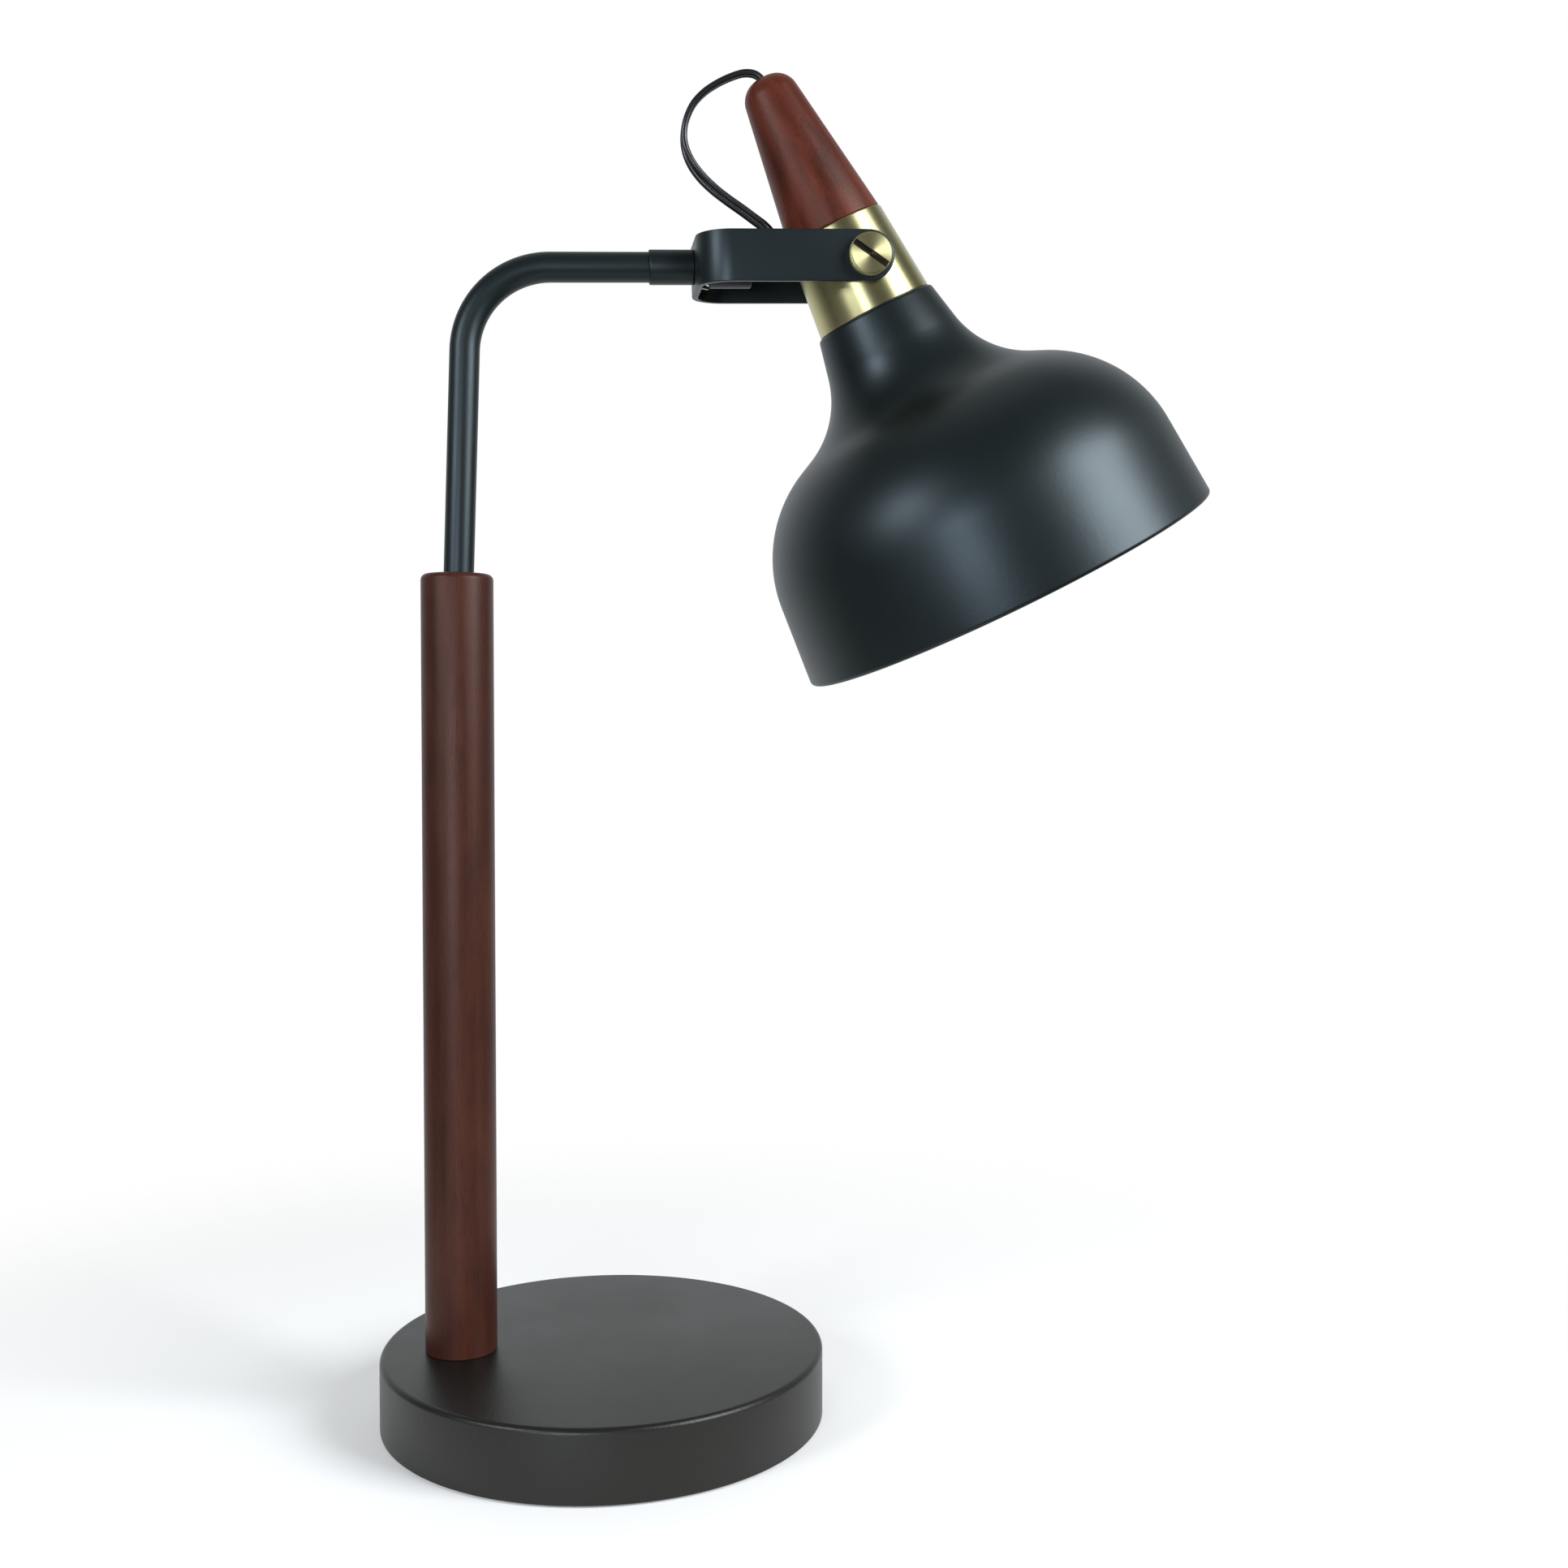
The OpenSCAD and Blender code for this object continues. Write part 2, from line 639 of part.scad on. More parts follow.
// The curve through p with n rings on each stretch
function curve(p, n) = [
    for (i = [0:len(p) - 2]) for (k = [0:n - 1]) curve_point(p, i, k / n), p[len(p) - 1]];

function smoothstep(x) = let (t = min(max(x, 0), 1)) t * t * (3 - 2 * t);

// The turn of the cord's wide side about its own line, at the share s of the loop
function loop_twist(s) = 90 * (1 - smoothstep((s - TWIST_FROM) / (TWIST_TO - TWIST_FROM)));

// The cord swept along the points q. twists holds the turn of its section at each point.
module cord_along(q, twists) {
    section = cord_section();
    n = len(section);
    rings = len(q);
    points = [
        for (i = [0:rings - 1]) let (
            along = unit(q[min(i + 1, rings - 1)] - q[max(i - 1, 0)]),
            side = unit([0, 1, 0] - along[1] * along),
            up = cross(along, side),
            wide = cos(twists[i]) * side + sin(twists[i]) * up,
            thin = cross(along, wide))
            for (s = section) q[i] + s[0] * wide + s[1] * thin,
        q[0], q[rings - 1]];
    start = rings * n;
    end = start + 1;
    polyhedron(points, [
        for (i = [0:rings - 2]) for (j = [0:n - 1]) let (
            a = i * n + j, b = i * n + (j + 1) % n)
            each [[a, a + n, b + n], [a, b + n, b]],
        for (j = [0:n - 1]) [start, j, (j + 1) % n],
        for (j = [0:n - 1]) [end, (rings - 1) * n + (j + 1) % n, (rings - 1) * n + j]]);
}

// A straight stretch of the cord
module straight_cord(len) {
    linear_extrude(len) {
        for (side = [-1, 1]) translate([0, side * (cord_w - cord_t) / 2]) circle(d = cord_t);
        square([0.7 * cord_t, cord_w - cord_t], center = true);
    }
}

module inner_lead() {
    q = curve(LEAD_ROUTE, 2);
    color(PLASTIC) cord_along(q, [for (p = q) 0]);
}

module loop_cord() {
    q = curve(LOOP_ROUTE, 2);
    color(PLASTIC) cord_along(q, [for (i = [0:len(q) - 1]) loop_twist(i / (len(q) - 1))]);
}

module neck_collar() {
    inner_bottom_r = collar_bottom_r - collar_wall;
    inner_top_r = collar_top_r - collar_wall;
    taper = (collar_bottom_r - collar_top_r) / collar_h;
    b = seam_bevel;
    color(BRASS) difference() {
        union() {
            at_head() rotate_extrude() polygon([
                [inner_bottom_r, -collar_low], [collar_bottom_r - b, -collar_low],
                [collar_bottom_r - taper * b, b - collar_low],
                [collar_top_r + taper * b, collar_top - b],
                [collar_top_r - b, collar_top], [inner_top_r, collar_top]]);
            for (side = [-1, 1]) at_pivot(side, pivot_face_y - pivot_boss_len)
                cylinder(h = pivot_boss_len, d = pivot_boss_d);
        }
        for (side = [-1, 1]) {
            at_pivot(side, pivot_face_y) cylinder(h = collar_bottom_r, d = friction_washer_d + 1);
            at_pivot(side, pivot_face_y - pivot_boss_len - cut)
                cylinder(h = pivot_boss_len + 2 * cut, d = pivot_screw_d + play);
        }
    }
}

// The turned handle: a tapered side that runs into a round tip, with a spigot below
module wood_handle() {
    a = handle_taper;
    foot_r = handle_d / 2;
    tip_z = handle_len - handle_round;
    tip_x = foot_r - tip_z * tan(a) - handle_round / cos(a);
    spigot_r = collar_top_r - collar_wall - fit;
    color(WOOD) at_head() translate([0, 0, collar_top]) difference() {
        union() {
            rotate_extrude() union() {
                polygon([[0, 0], [foot_r - seam_bevel, 0],
                    [foot_r - seam_bevel * tan(a), seam_bevel],
                    [tip_x + handle_round * cos(a), tip_z + handle_round * sin(a)],
                    [tip_x, tip_z], [tip_x, handle_len], [0, handle_len]]);
                translate([tip_x, tip_z]) intersection() {
                    circle(handle_round);
                    square(handle_round);
                }
            }
            translate([0, 0, -spigot_len]) cylinder(h = spigot_len, r = spigot_r);
        }
        translate([0, 0, -spigot_len - cut]) {
            cylinder(h = handle_len + spigot_len + 2 * cut, d = handle_bore_d);
            cylinder(h = insert_len + cut, d = insert_d + 2 * fit);
        }
    }
}

module handle_insert() {
    color(BRASS) at_head() translate([0, 0, collar_top - spigot_len])
        ring(insert_len, insert_d, stem_d + 2 * fit);
}

module head_stem() {
    low = clamp_nut_z - stem_thread_len;
    color(STEEL) at_head() translate([0, 0, low])
        ring(collar_top - spigot_len + insert_len - bevel - low, stem_d, stem_bore_d);
}

module clamp_nut() {
    color(ZINC) at_head() translate([0, 0, clamp_nut_z])
        hex_nut(clamp_nut_t, clamp_nut_w, stem_d + 2 * fit);
}

// Points on a circle round c, from one direction to another in n steps
function arc(c, r, from, to, n) = [
    for (i = [0:n]) let (a = from + (to - from) * i / n) c + r * [cos(a), sin(a)]];

function reversed(p) = [for (i = [len(p) - 1:-1:0]) p[i]];

// The spun shade as one line of sheet: a round edge, a straight neck, a hollow flare, a short
// shoulder, a dome, a straight skirt and a rim that is rolled inwards. inset is 0 for the
// outside of the sheet.
function shade_line(inset) = let (
    neck = [neck_d / 2, -collar_low - neck_round * (1 - sin(neck_slope))],
    edge_c = neck - neck_round * [cos(neck_slope), sin(neck_slope)],
    flare = neck + neck_len * [sin(neck_slope), -cos(neck_slope)],
    flare_c = flare + flare_r * [cos(neck_slope), sin(neck_slope)],
    shoulder = flare_c - flare_r * [cos(shoulder_slope), sin(shoulder_slope)],
    dome = shoulder + shoulder_len * [sin(shoulder_slope), -cos(shoulder_slope)],
    dome_c = dome - dome_r * [cos(shoulder_slope), sin(shoulder_slope)],
    skirt = dome_c + dome_r * [cos(skirt_slope), sin(skirt_slope)],
    rim = skirt + skirt_len * [sin(skirt_slope), -cos(skirt_slope)],
    rim_c = rim - rim_r * [cos(skirt_slope), sin(skirt_slope)])
    [each arc(edge_c, neck_round - inset, 90, neck_slope, 6),
        each arc(flare_c, flare_r + inset, 180 + neck_slope, 180 + shoulder_slope, 18),
        each arc(dome_c, dome_r - inset, shoulder_slope, skirt_slope, 22),
        each arc(rim_c, rim_r - inset, skirt_slope, -150, 10)];

module shade() {
    hole_r = stem_d / 2 + fit;
    color(BLACK_PAINT) at_head() rotate_extrude() polygon([
        [hole_r, -collar_low], each shade_line(0), each reversed(shade_line(shade_wall)),
        [hole_r, -collar_low - shade_wall]]);
}

module friction_washer(side) {
    color(FOAM) at_pivot(side, pivot_face_y)
        ring(friction_washer_t, friction_washer_d, pivot_screw_d + 2 * play);
}
module friction_washer_near() { friction_washer(-1); }
module friction_washer_far() { friction_washer(1); }

// A slotted brass screw with a straight knurl round its head
module pivot_screw(side) {
    rim_r = pivot_head_d / 2 - knurl_depth;
    step = 360 / knurl_count;
    seat_y = yoke_gap / 2 + bar_t + play;
    color(BRASS) at_pivot(side, seat_y) rotate([0, 0, side * slot_angle]) difference() {
        union() {
            bevelled_rod(pivot_head_h, 2 * rim_r - knurl_depth, knurl_depth);
            translate([0, 0, bevel]) linear_extrude(pivot_head_h - 2 * bevel) polygon([
                for (i = [0:knurl_count - 1]) each [
                    (rim_r + knurl_depth) * [cos(i * step), sin(i * step)],
                    rim_r * [cos((i + 0.5) * step), sin((i + 0.5) * step)]]]);
            translate([0, 0, -pivot_shank_len])
                cylinder(h = pivot_shank_len + bevel, d = pivot_screw_d);
        }
        translate([-pivot_head_d, -slot_w / 2, pivot_head_h - slot_depth])
            cube([2 * pivot_head_d, slot_w, slot_depth + cut]);
    }
}
module pivot_screw_near() { pivot_screw(-1); }
module pivot_screw_far() { pivot_screw(1); }

// The domed cap of the lampholder, with a threaded boss that hangs it on the stem
module holder_cap() {
    r = holder_d / 2;
    boss_r = stem_d / 2 + 3;
    shoulder_h = cap_h - 8;
    w = holder_wall;
    color(PLASTIC) at_head() translate([0, 0, skirt_top]) difference() {
        rotate_extrude() polygon([[0, 0], [r, 0], [r, shoulder_h], [r - 5, shoulder_h + 5],
            [boss_r, shoulder_h + 6], [boss_r, cap_h], [0, cap_h]]);
        translate([0, 0, -cut]) rotate_extrude() polygon([[0, 0], [r - w, 0],
            [r - w, shoulder_h + cut], [r - w - 5, shoulder_h + 4], [0, shoulder_h + 4]]);
        cylinder(h = cap_h + cut, d = stem_d + 2 * fit);
    }
}

module holder_skirt() {
    r = holder_d / 2;
    w = holder_wall;
    lip = 1.5;
    color(PLASTIC) at_head() translate([0, 0, holder_mouth]) rotate_extrude() polygon([
        [r - w, 0], [r + lip - 1, 0], [r + lip, 1], [r + lip, 3], [r, 3 + lip],
        [r, skirt_h], [r - w, skirt_h]]);
}

module holder_core() {
    color(PORCELAIN) at_head() translate([0, 0, skirt_top])
        cylinder(h = core_t - 1, r = holder_d / 2 - holder_wall - 2 * play);
}

module holder_shell() {
    depth = skirt_h - 4;
    color(BRASS) at_head() translate([0, 0, skirt_top - depth])
        ring(depth, shell_bore_d + 2 * shell_wall, shell_bore_d);
}

// A springy strip under the core that presses on the end of the bulb
module holder_contact() {
    color(BRASS) at_head() {
        translate([-9, -2.5, skirt_top - contact_t]) cube([11, 5, contact_t]);
        translate([0, 0, skirt_top - contact_h]) cylinder(h = contact_h, d1 = 4, d2 = 5);
    }
}

module head_lead() {
    low = skirt_top + core_t;
    high = handle_top - 8;
    color(PLASTIC) at_head() translate([0, 0, low]) straight_cord(high - low);
}

// The screw cap is a thin cup that runs up to the contact at its end
module bulb_cap() {
    r = bulb_cap_d / 2;
    shoulder = bulb_cap_len - 6.5;
    color(STEEL) at_head() translate([0, 0, bulb_cap_end]) rotate_extrude() polygon([
        [r - bulb_cap_wall, 0], [r, 0], [r, shoulder], [r - 4, shoulder + 3],
        [4.5, bulb_cap_len - 1], [3.5, bulb_cap_len], [0, bulb_cap_len],
        [0, shoulder + 2], [r - 5, shoulder + 1], [r - bulb_cap_wall, shoulder - 2]]);
}

module bulb_neck() {
    color(OPAL) at_head() rotate_extrude() polygon([
        [0, bulb_cap_end], [bulb_neck_d / 2, bulb_cap_end],
        [bulb_neck_d / 2, bulb_cap_end - 2],
        [diffuser_rim_r, bulb_center + diffuser_rim_z],
        [0, bulb_center + diffuser_rim_z]]);
}

module bulb_diffuser() {
    color(OPAL) at_head() translate([0, 0, bulb_center]) rotate_extrude() difference() {
        circle(bulb_r);
        circle(bulb_r - diffuser_wall);
        translate([-bulb_d, -bulb_d]) square([bulb_d, 2 * bulb_d]);
        translate([0, diffuser_rim_z]) square([bulb_d, bulb_d]);
    }
}

base_shell();
base_weight();
base_plate();
plate_screws();
base_pad();
inlet_bushing();
wood_post();
post_pipe();
pipe_nut();
pipe_washer();
leg_plug();
arm_tube();
arm_plug();
arm_sleeve();
yoke();
yoke_pipe();
tooth_washer();
cord_grip();
grip_screw();
inner_lead();
loop_cord();
neck_collar();
wood_handle();
handle_insert();
head_stem();
clamp_nut();
shade();
friction_washer_near();
friction_washer_far();
pivot_screw_near();
pivot_screw_far();
holder_cap();
holder_skirt();
holder_core();
holder_shell();
holder_contact();
head_lead();
bulb_neck();
bulb_diffuser();
bulb_cap();
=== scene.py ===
"""Desk lamp: a round weighted foot, a wooden post, a bent steel arm, and a spun shade that
tilts in a yoke of flat bar under a wooden handle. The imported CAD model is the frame, and its
origin is the centre of the underside. Sizes are in millimetres until a mesh is made."""

import bmesh
import bpy
import numpy as np
from mathutils import Matrix, Vector


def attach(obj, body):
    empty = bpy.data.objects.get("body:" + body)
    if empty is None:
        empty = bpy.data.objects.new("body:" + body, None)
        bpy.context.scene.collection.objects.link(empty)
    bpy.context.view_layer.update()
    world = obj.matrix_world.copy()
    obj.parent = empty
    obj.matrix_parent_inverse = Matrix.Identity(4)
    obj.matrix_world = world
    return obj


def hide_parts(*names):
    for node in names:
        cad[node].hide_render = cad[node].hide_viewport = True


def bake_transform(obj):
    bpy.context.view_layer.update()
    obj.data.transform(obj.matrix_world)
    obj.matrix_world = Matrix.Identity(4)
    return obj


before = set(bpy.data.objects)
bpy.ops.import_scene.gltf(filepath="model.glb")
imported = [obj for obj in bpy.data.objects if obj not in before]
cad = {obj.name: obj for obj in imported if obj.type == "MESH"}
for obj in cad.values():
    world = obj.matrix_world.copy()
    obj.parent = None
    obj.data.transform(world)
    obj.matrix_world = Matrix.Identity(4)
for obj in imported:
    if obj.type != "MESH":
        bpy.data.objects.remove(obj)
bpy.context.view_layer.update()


# CAMERA. A view from the side and a little above the middle of the lamp, 0.7 m away. The
# small shift stands for the way the photograph was cropped.
def turned_axes(axis, degrees):
    """The matrix that turns points about x or y by an angle, with the usual sines and cosines."""
    c, s = np.cos(np.radians(degrees)), np.sin(np.radians(degrees))
    return np.array({"x": [[1, 0, 0], [0, c, -s], [0, s, c]],
                     "y": [[c, 0, s], [0, 1, 0], [-s, 0, c]]}[axis])


view_place, view_yaw, view_pitch, view_roll = (-14.2, -710.7, 279.7), 7.11, 1.54, -0.05
cos_yaw, sin_yaw = np.cos(np.radians(view_yaw)), np.sin(np.radians(view_yaw))
cos_pitch, sin_pitch = np.cos(np.radians(view_pitch)), np.sin(np.radians(view_pitch))
ahead = np.array([sin_yaw * cos_pitch, cos_yaw * cos_pitch, -sin_pitch])
right = np.array([cos_yaw, -sin_yaw, 0])
up = np.cross(right, ahead)
cos_roll, sin_roll = np.cos(np.radians(view_roll)), np.sin(np.radians(view_roll))
axes = np.stack([cos_roll * right + sin_roll * up, cos_roll * up - sin_roll * right, -ahead], 1)
lens = bpy.data.cameras.new("camera")
lens.lens, lens.sensor_width = 40.23, 36
lens.shift_x, lens.shift_y = -0.0004, -0.0078
lens.clip_start, lens.clip_end = 0.05, 60
camera = bpy.data.objects.new("camera", lens)
camera.matrix_world = Matrix.Translation(np.array(view_place) / 1000) @ Matrix(axes).to_4x4()
bpy.context.scene.collection.objects.link(camera)
bpy.context.scene.camera = camera


# LOOP OF CORD. A flat twin cord, two copper cores in soft black PVC with a groove between
# them. It leaves the cord grip, turns back over the yoke and enters the tip of the handle.
def feed(node, sockets):
    """Gives a node's sockets, by name or number, a value each, or (node, output) to link."""
    for name, value in sockets.items():
        if isinstance(value, tuple) and isinstance(value[0], bpy.types.Node):
            node.id_data.links.new(value[0].outputs[value[1]], node.inputs[name])
        else:
            node.inputs[name].default_value = value


def add(tree, kind, sockets=None, **settings):
    """Adds a node with its settings and feeds its sockets."""
    made = tree.nodes.new(kind)
    for name, value in settings.items():
        setattr(made, name, value)
    feed(made, sockets or {})
    return made


def srgb(text, alpha=1.0):
    """A hex colour as linear light: the lower part of the sRGB curve is straight, the rest is
    a power of 2.4."""
    c = np.array([int(text[i:i + 2], 16) for i in (1, 3, 5)]) / 255
    c = np.where(c <= 0.04045, c / 12.92, ((c + 0.055) / 1.055) ** 2.4)
    return (*c.tolist(), alpha)


def finish_of(name):
    """A new material with a Principled surface, and the coordinates its patterns read."""
    material = bpy.data.materials.new(name)
    material.use_nodes = True
    tree = material.node_tree
    tree.nodes.clear()
    surface = add(tree, "ShaderNodeBsdfPrincipled")
    add(tree, "ShaderNodeOutputMaterial", {"Surface": (surface, "BSDF")})
    return material, tree, surface, add(tree, "ShaderNodeTexCoord")


def skin(name, rows, body, paint, wrap=False, tips=(None, None), sharp=35):
    """One closed mesh from a grid of points in mm. Each row is a closed ring, quads join each
    row to the next, wrap joins the last row to the first, and a tip closes an end by a fan."""
    n, m = rows.shape[:2]
    here = np.arange(n if wrap else n - 1)[:, None]
    there = (here + 1) % n
    j, k = np.arange(m), (np.arange(m) + 1) % m
    quads = np.stack(np.broadcast_arrays(here * m + j, here * m + k, there * m + k,
                                         there * m + j), -1).reshape(-1, 4)
    points, faces = rows.reshape(-1, 3), quads.tolist()
    for row, tip in zip((0, n - 1), tips):
        if tip is not None:
            fan = np.stack([row * m + j, row * m + k, np.full(m, len(points))], -1)
            points, faces = np.vstack([points, tip]), faces + fan.tolist()
    mesh = bpy.data.meshes.new(name)
    mesh.from_pydata((points / 1000).tolist(), [], faces)
    shell = bmesh.new()
    shell.from_mesh(mesh)
    bmesh.ops.recalc_face_normals(shell, faces=shell.faces)
    shell.to_mesh(mesh)
    shell.free()
    mesh.polygons.foreach_set("use_smooth", np.ones(len(mesh.polygons), bool))
    mesh.set_sharp_from_angle(angle=np.radians(sharp))
    mesh.materials.append(paint)
    piece = bpy.data.objects.new(name, mesh)
    bpy.context.scene.collection.objects.link(piece)
    if body:
        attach(piece, body)
    return piece


def carried(path, sections, twists=0.0):
    """Sections carried along a path. Each ring stands square to the path, its first direction
    is the Y axis made square to the path, and twists turn it about the path."""
    along = np.gradient(path, axis=0)
    along /= np.linalg.norm(along, axis=1, keepdims=True)
    side = np.array([0, 1, 0]) - along[:, 1:2] * along
    side /= np.linalg.norm(side, axis=1, keepdims=True)
    rise = np.cross(along, side)
    t = np.radians(np.broadcast_to(twists, len(path)))[:, None]
    wide = np.cos(t) * side + np.sin(t) * rise
    thin = np.cross(along, wide)
    return (path[:, None] + sections[..., :1] * wide[:, None] + sections[..., 1:] * thin[:, None])


def smooth_step(x):
    """A ramp from 0 to 1 that starts and ends level: 3 x squared less 2 x cubed."""
    x = np.clip(x, 0, 1)
    return x * x * (3 - 2 * x)


def smooth_curve(points, steps):
    """A curve through all the points: on each stretch a cubic whose slope at a point is half
    the way from the point before to the point after."""
    p = np.vstack([points[:1], points, points[-1:]])
    a, b, c, d = (p[i:len(p) - 3 + i][:, None] for i in range(4))
    t = (np.arange(steps) / steps)[:, None]
    q = 0.5 * (2 * b + (c - a) * t + (2 * a - 5 * b + 4 * c - d) * t ** 2
               + (3 * b - a - 3 * c + d) * t ** 3)
    return np.vstack([q.reshape(-1, 3), points[-1:]])


def twin_section(width, thickness, groove=0.62, steps=9):
    """The outline of a flat twin cord: two round cores, joined where their circles meet at a
    groove that is a share of the thickness deep on each side."""
    r = thickness / 2
    c = width / 2 - r
    a = np.radians(np.linspace(-128, 128, steps * 2))
    core = np.stack([c + r * np.cos(a), r * np.sin(a)], 1)
    return np.vstack([core, [[0, groove * r]], -core, [[0, -groove * r]]])


cord_jacket, tree, surface, coords = finish_of("soft_pvc_cord_jacket")
# Soft PVC is smooth and half glossy, with faint waves of about 3 mm from the extruder.
grain = add(tree, "ShaderNodeTexNoise", {"Vector": (coords, "Object"), "Scale": 330.0,
                                         "Detail": 1.0})
tone = add(tree, "ShaderNodeMix", {0: (grain, "Fac"), 6: srgb("#0b0d0e"), 7: srgb("#111416")},
           data_type="RGBA")
relief = add(tree, "ShaderNodeBump", {"Height": (grain, "Fac"), "Strength": 0.03,
                                      "Distance": 0.0002})
feed(surface, {"Base Color": (tone, 2), "Normal": (relief, "Normal"), "Roughness": 0.32,
               "IOR": 1.53})

loop_route = np.array([
    (60.5, 0, 464.9), (64, 0, 465.2), (68, 0, 467.7), (70.1, 0, 472), (69.6, 0, 477),
    (66.6, 0, 480.9), (62, -0.5, 484.1), (57, -1, 487.4), (51, -1.5, 491.2),
    (45.5, -2, 495.1), (40.5, -2.5, 499.6), (36.6, -3, 504.6), (34.3, -3, 510),
    (33.6, -3, 515.5), (34.5, -3.5, 521.5), (37.2, -4, 527.5), (41.4, -4.5, 532.2),
    (46.5, -4.8, 535.8), (52, -5, 538.6), (57.5, -5.2, 540.4), (62.3, -5.2, 540),
    (65.8, -5, 537), (67.8, -4.8, 533)])
cord_width, cord_thickness = 4.6, 2.6
# The cord leaves the handle on edge and has turned flat where it comes down to the grip.
twist_from, twist_to = 0.36, 0.62
line = smooth_curve(loop_route, 8)
share = np.linspace(0, 1, len(line))
twists = 90 * (1 - smooth_step((share - twist_from) / (twist_to - twist_from)))
section = twin_section(cord_width, cord_thickness)
loop = skin("cord_loop", carried(line, np.broadcast_to(section, (len(line), *section.shape)),
                                 twists), None, cord_jacket, tips=(line[0], line[-1]), sharp=60)
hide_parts("loop_cord")
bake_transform(loop)


def repaint(paint, slot, *names):
    """Gives CAD nodes whose shape is right their finish."""
    for name in names:
        cad[name].data.materials.clear()
        cad[name].data.materials.append(paint)


repaint(cord_jacket, "cord", "inner_lead", "head_lead")


# FOOT. A pressed steel cover with a satin black powder coat over an iron weight. A steel
# plate, held by three screws, closes it from below, and a foam pad keeps it off the table.
def rounded_corners(points, radii, steps=5):
    """A profile whose corners are arcs: each starts and ends the radius over the tangent of
    half the corner's angle from the corner, and runs round the centre between them."""
    points, out = np.array(points, float), []
    for i, radius in enumerate(radii):
        p = points[i]
        if radius <= 0:
            out.append(p[None])
            continue
        u = points[i - 1] - p
        v = points[(i + 1) % len(points)] - p
        u, v = u / np.hypot(*u), v / np.hypot(*v)
        half = np.arccos(np.clip(u @ v, -1, 1)) / 2
        middle = (u + v) / np.hypot(*(u + v))
        centre = p + middle * radius / np.sin(half)
        a, b = (p + w * radius / np.tan(half) - centre for w in (u, v))
        start = np.arctan2(a[1], a[0])
        sweep = (np.arctan2(b[1], b[0]) - start + np.pi) % (2 * np.pi) - np.pi
        t = start + sweep * np.linspace(0, 1, steps + 1)
        out.append(centre + radius * np.stack([np.cos(t), np.sin(t)], 1))
    return np.vstack(out)


def turned(name, profile, place, body, paint, around=96, ripple=None, sharp=35):
    """A profile of radius and height turned round the Z axis of a place. It is a closed loop,
    or starts and ends on the axis. ripple adds to the radius, from angle, height and radius."""
    profile = np.array(profile, float)
    origin, axes = place
    solid = profile[0, 0] == 0 and profile[-1, 0] == 0
    body_rows = profile[1:-1] if solid else profile
    angle = np.linspace(0, 2 * np.pi, around, endpoint=False)
    r, z = np.broadcast_arrays(body_rows[:, :1], body_rows[:, 1:])
    r = r + (ripple(angle, z, r) if ripple else np.zeros((1, around)))
    rows = np.stack([r * np.cos(angle), r * np.sin(angle), z + np.zeros((1, around))], -1)
    tips = [origin + axes @ [0, 0, end[1]] if solid else None for end in (profile[0], profile[-1])]
    return skin(name, rows @ axes.T + origin, body, paint, not solid, tips, sharp)


def stands_for(piece, slot, *names):
    """Hides the CAD nodes that the piece is the finished form of; the piece itself is not used."""
    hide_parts(*names)


def black_powder(name, dark, light, tint, peel_scale, peel_depth):
    """Baked powder flows out to a satin skin with a soft orange peel, and dust and handling
    leave faint clouds in its gloss."""
    material, tree, surface, coords = finish_of(name)
    peel = add(tree, "ShaderNodeTexNoise", {"Vector": (coords, "Object"), "Scale": peel_scale,
                                            "Detail": 2.0, "Roughness": 0.4})
    cloud = add(tree, "ShaderNodeTexNoise", {"Vector": (coords, "Object"), "Scale": 18.0,
                                             "Detail": 3.0})
    tone = add(tree, "ShaderNodeMix", {0: (cloud, "Fac"), 6: srgb(dark), 7: srgb(light)},
               data_type="RGBA")
    gloss = add(tree, "ShaderNodeMapRange", {"Value": (cloud, "Fac"), "From Min": 0.3,
                                             "From Max": 0.7, "To Min": 0.37, "To Max": 0.43})
    relief = add(tree, "ShaderNodeBump", {"Height": (peel, "Fac"), "Strength": peel_depth,
                                          "Distance": 0.0004})
    feed(surface, {"Base Color": (tone, 2), "Roughness": (gloss, 0), "Normal": (relief, "Normal"),
                   "IOR": 1.5, "Specular Tint": srgb(tint)})
    return material


# The shade and the arm are smooth and bluish. The foot is greyer, with a finer, deeper grain.
powder_coat = black_powder("satin_black_powder_coat", "#080e0e", "#0c1413", "#e0f2fa", 500, 0.06)
foot_coat = black_powder("grained_black_powder_coat", "#090b0a", "#0f0f0d", "#f1f0e8", 1100, 0.16)
upright = (np.zeros(3), np.eye(3))
base_r, base_top, base_wall, base_edge, edge_gap = 89, 28.5, 1.2, 2.2, 0.8
inside_r, inside_top = base_r - base_wall, base_top - base_wall
shell = turned("foot_cover", rounded_corners(
    [(0, base_top), (base_r, base_top), (base_r, edge_gap), (inside_r, edge_gap),
     (inside_r, inside_top), (0, inside_top)], [0, base_edge, 0.3, 0.3, 1, 0], 8),
    upright, "stand", foot_coat, around=192)
stands_for(shell, "black_paint", "base_shell")

cast_iron, tree, surface, coords = finish_of("grey_cast_iron")
# A sand casting, dull and rough, with grains of about 1 mm.
sand = add(tree, "ShaderNodeTexNoise", {"Vector": (coords, "Object"), "Scale": 1000.0,
                                        "Detail": 4.0})
tone = add(tree, "ShaderNodeMix", {0: (sand, "Fac"), 6: srgb("#3b3c3e"), 7: srgb("#6a6b6c")},
           data_type="RGBA")
relief = add(tree, "ShaderNodeBump", {"Height": (sand, "Fac"), "Strength": 0.6,
                                      "Distance": 0.0006})
feed(surface, {"Base Color": (tone, 2), "Normal": (relief, "Normal"), "Metallic": 0.7,
               "Roughness": 0.7})
repaint(cast_iron, "cast_iron", "base_weight")

foam, tree, surface, coords = finish_of("black_foam_rubber")
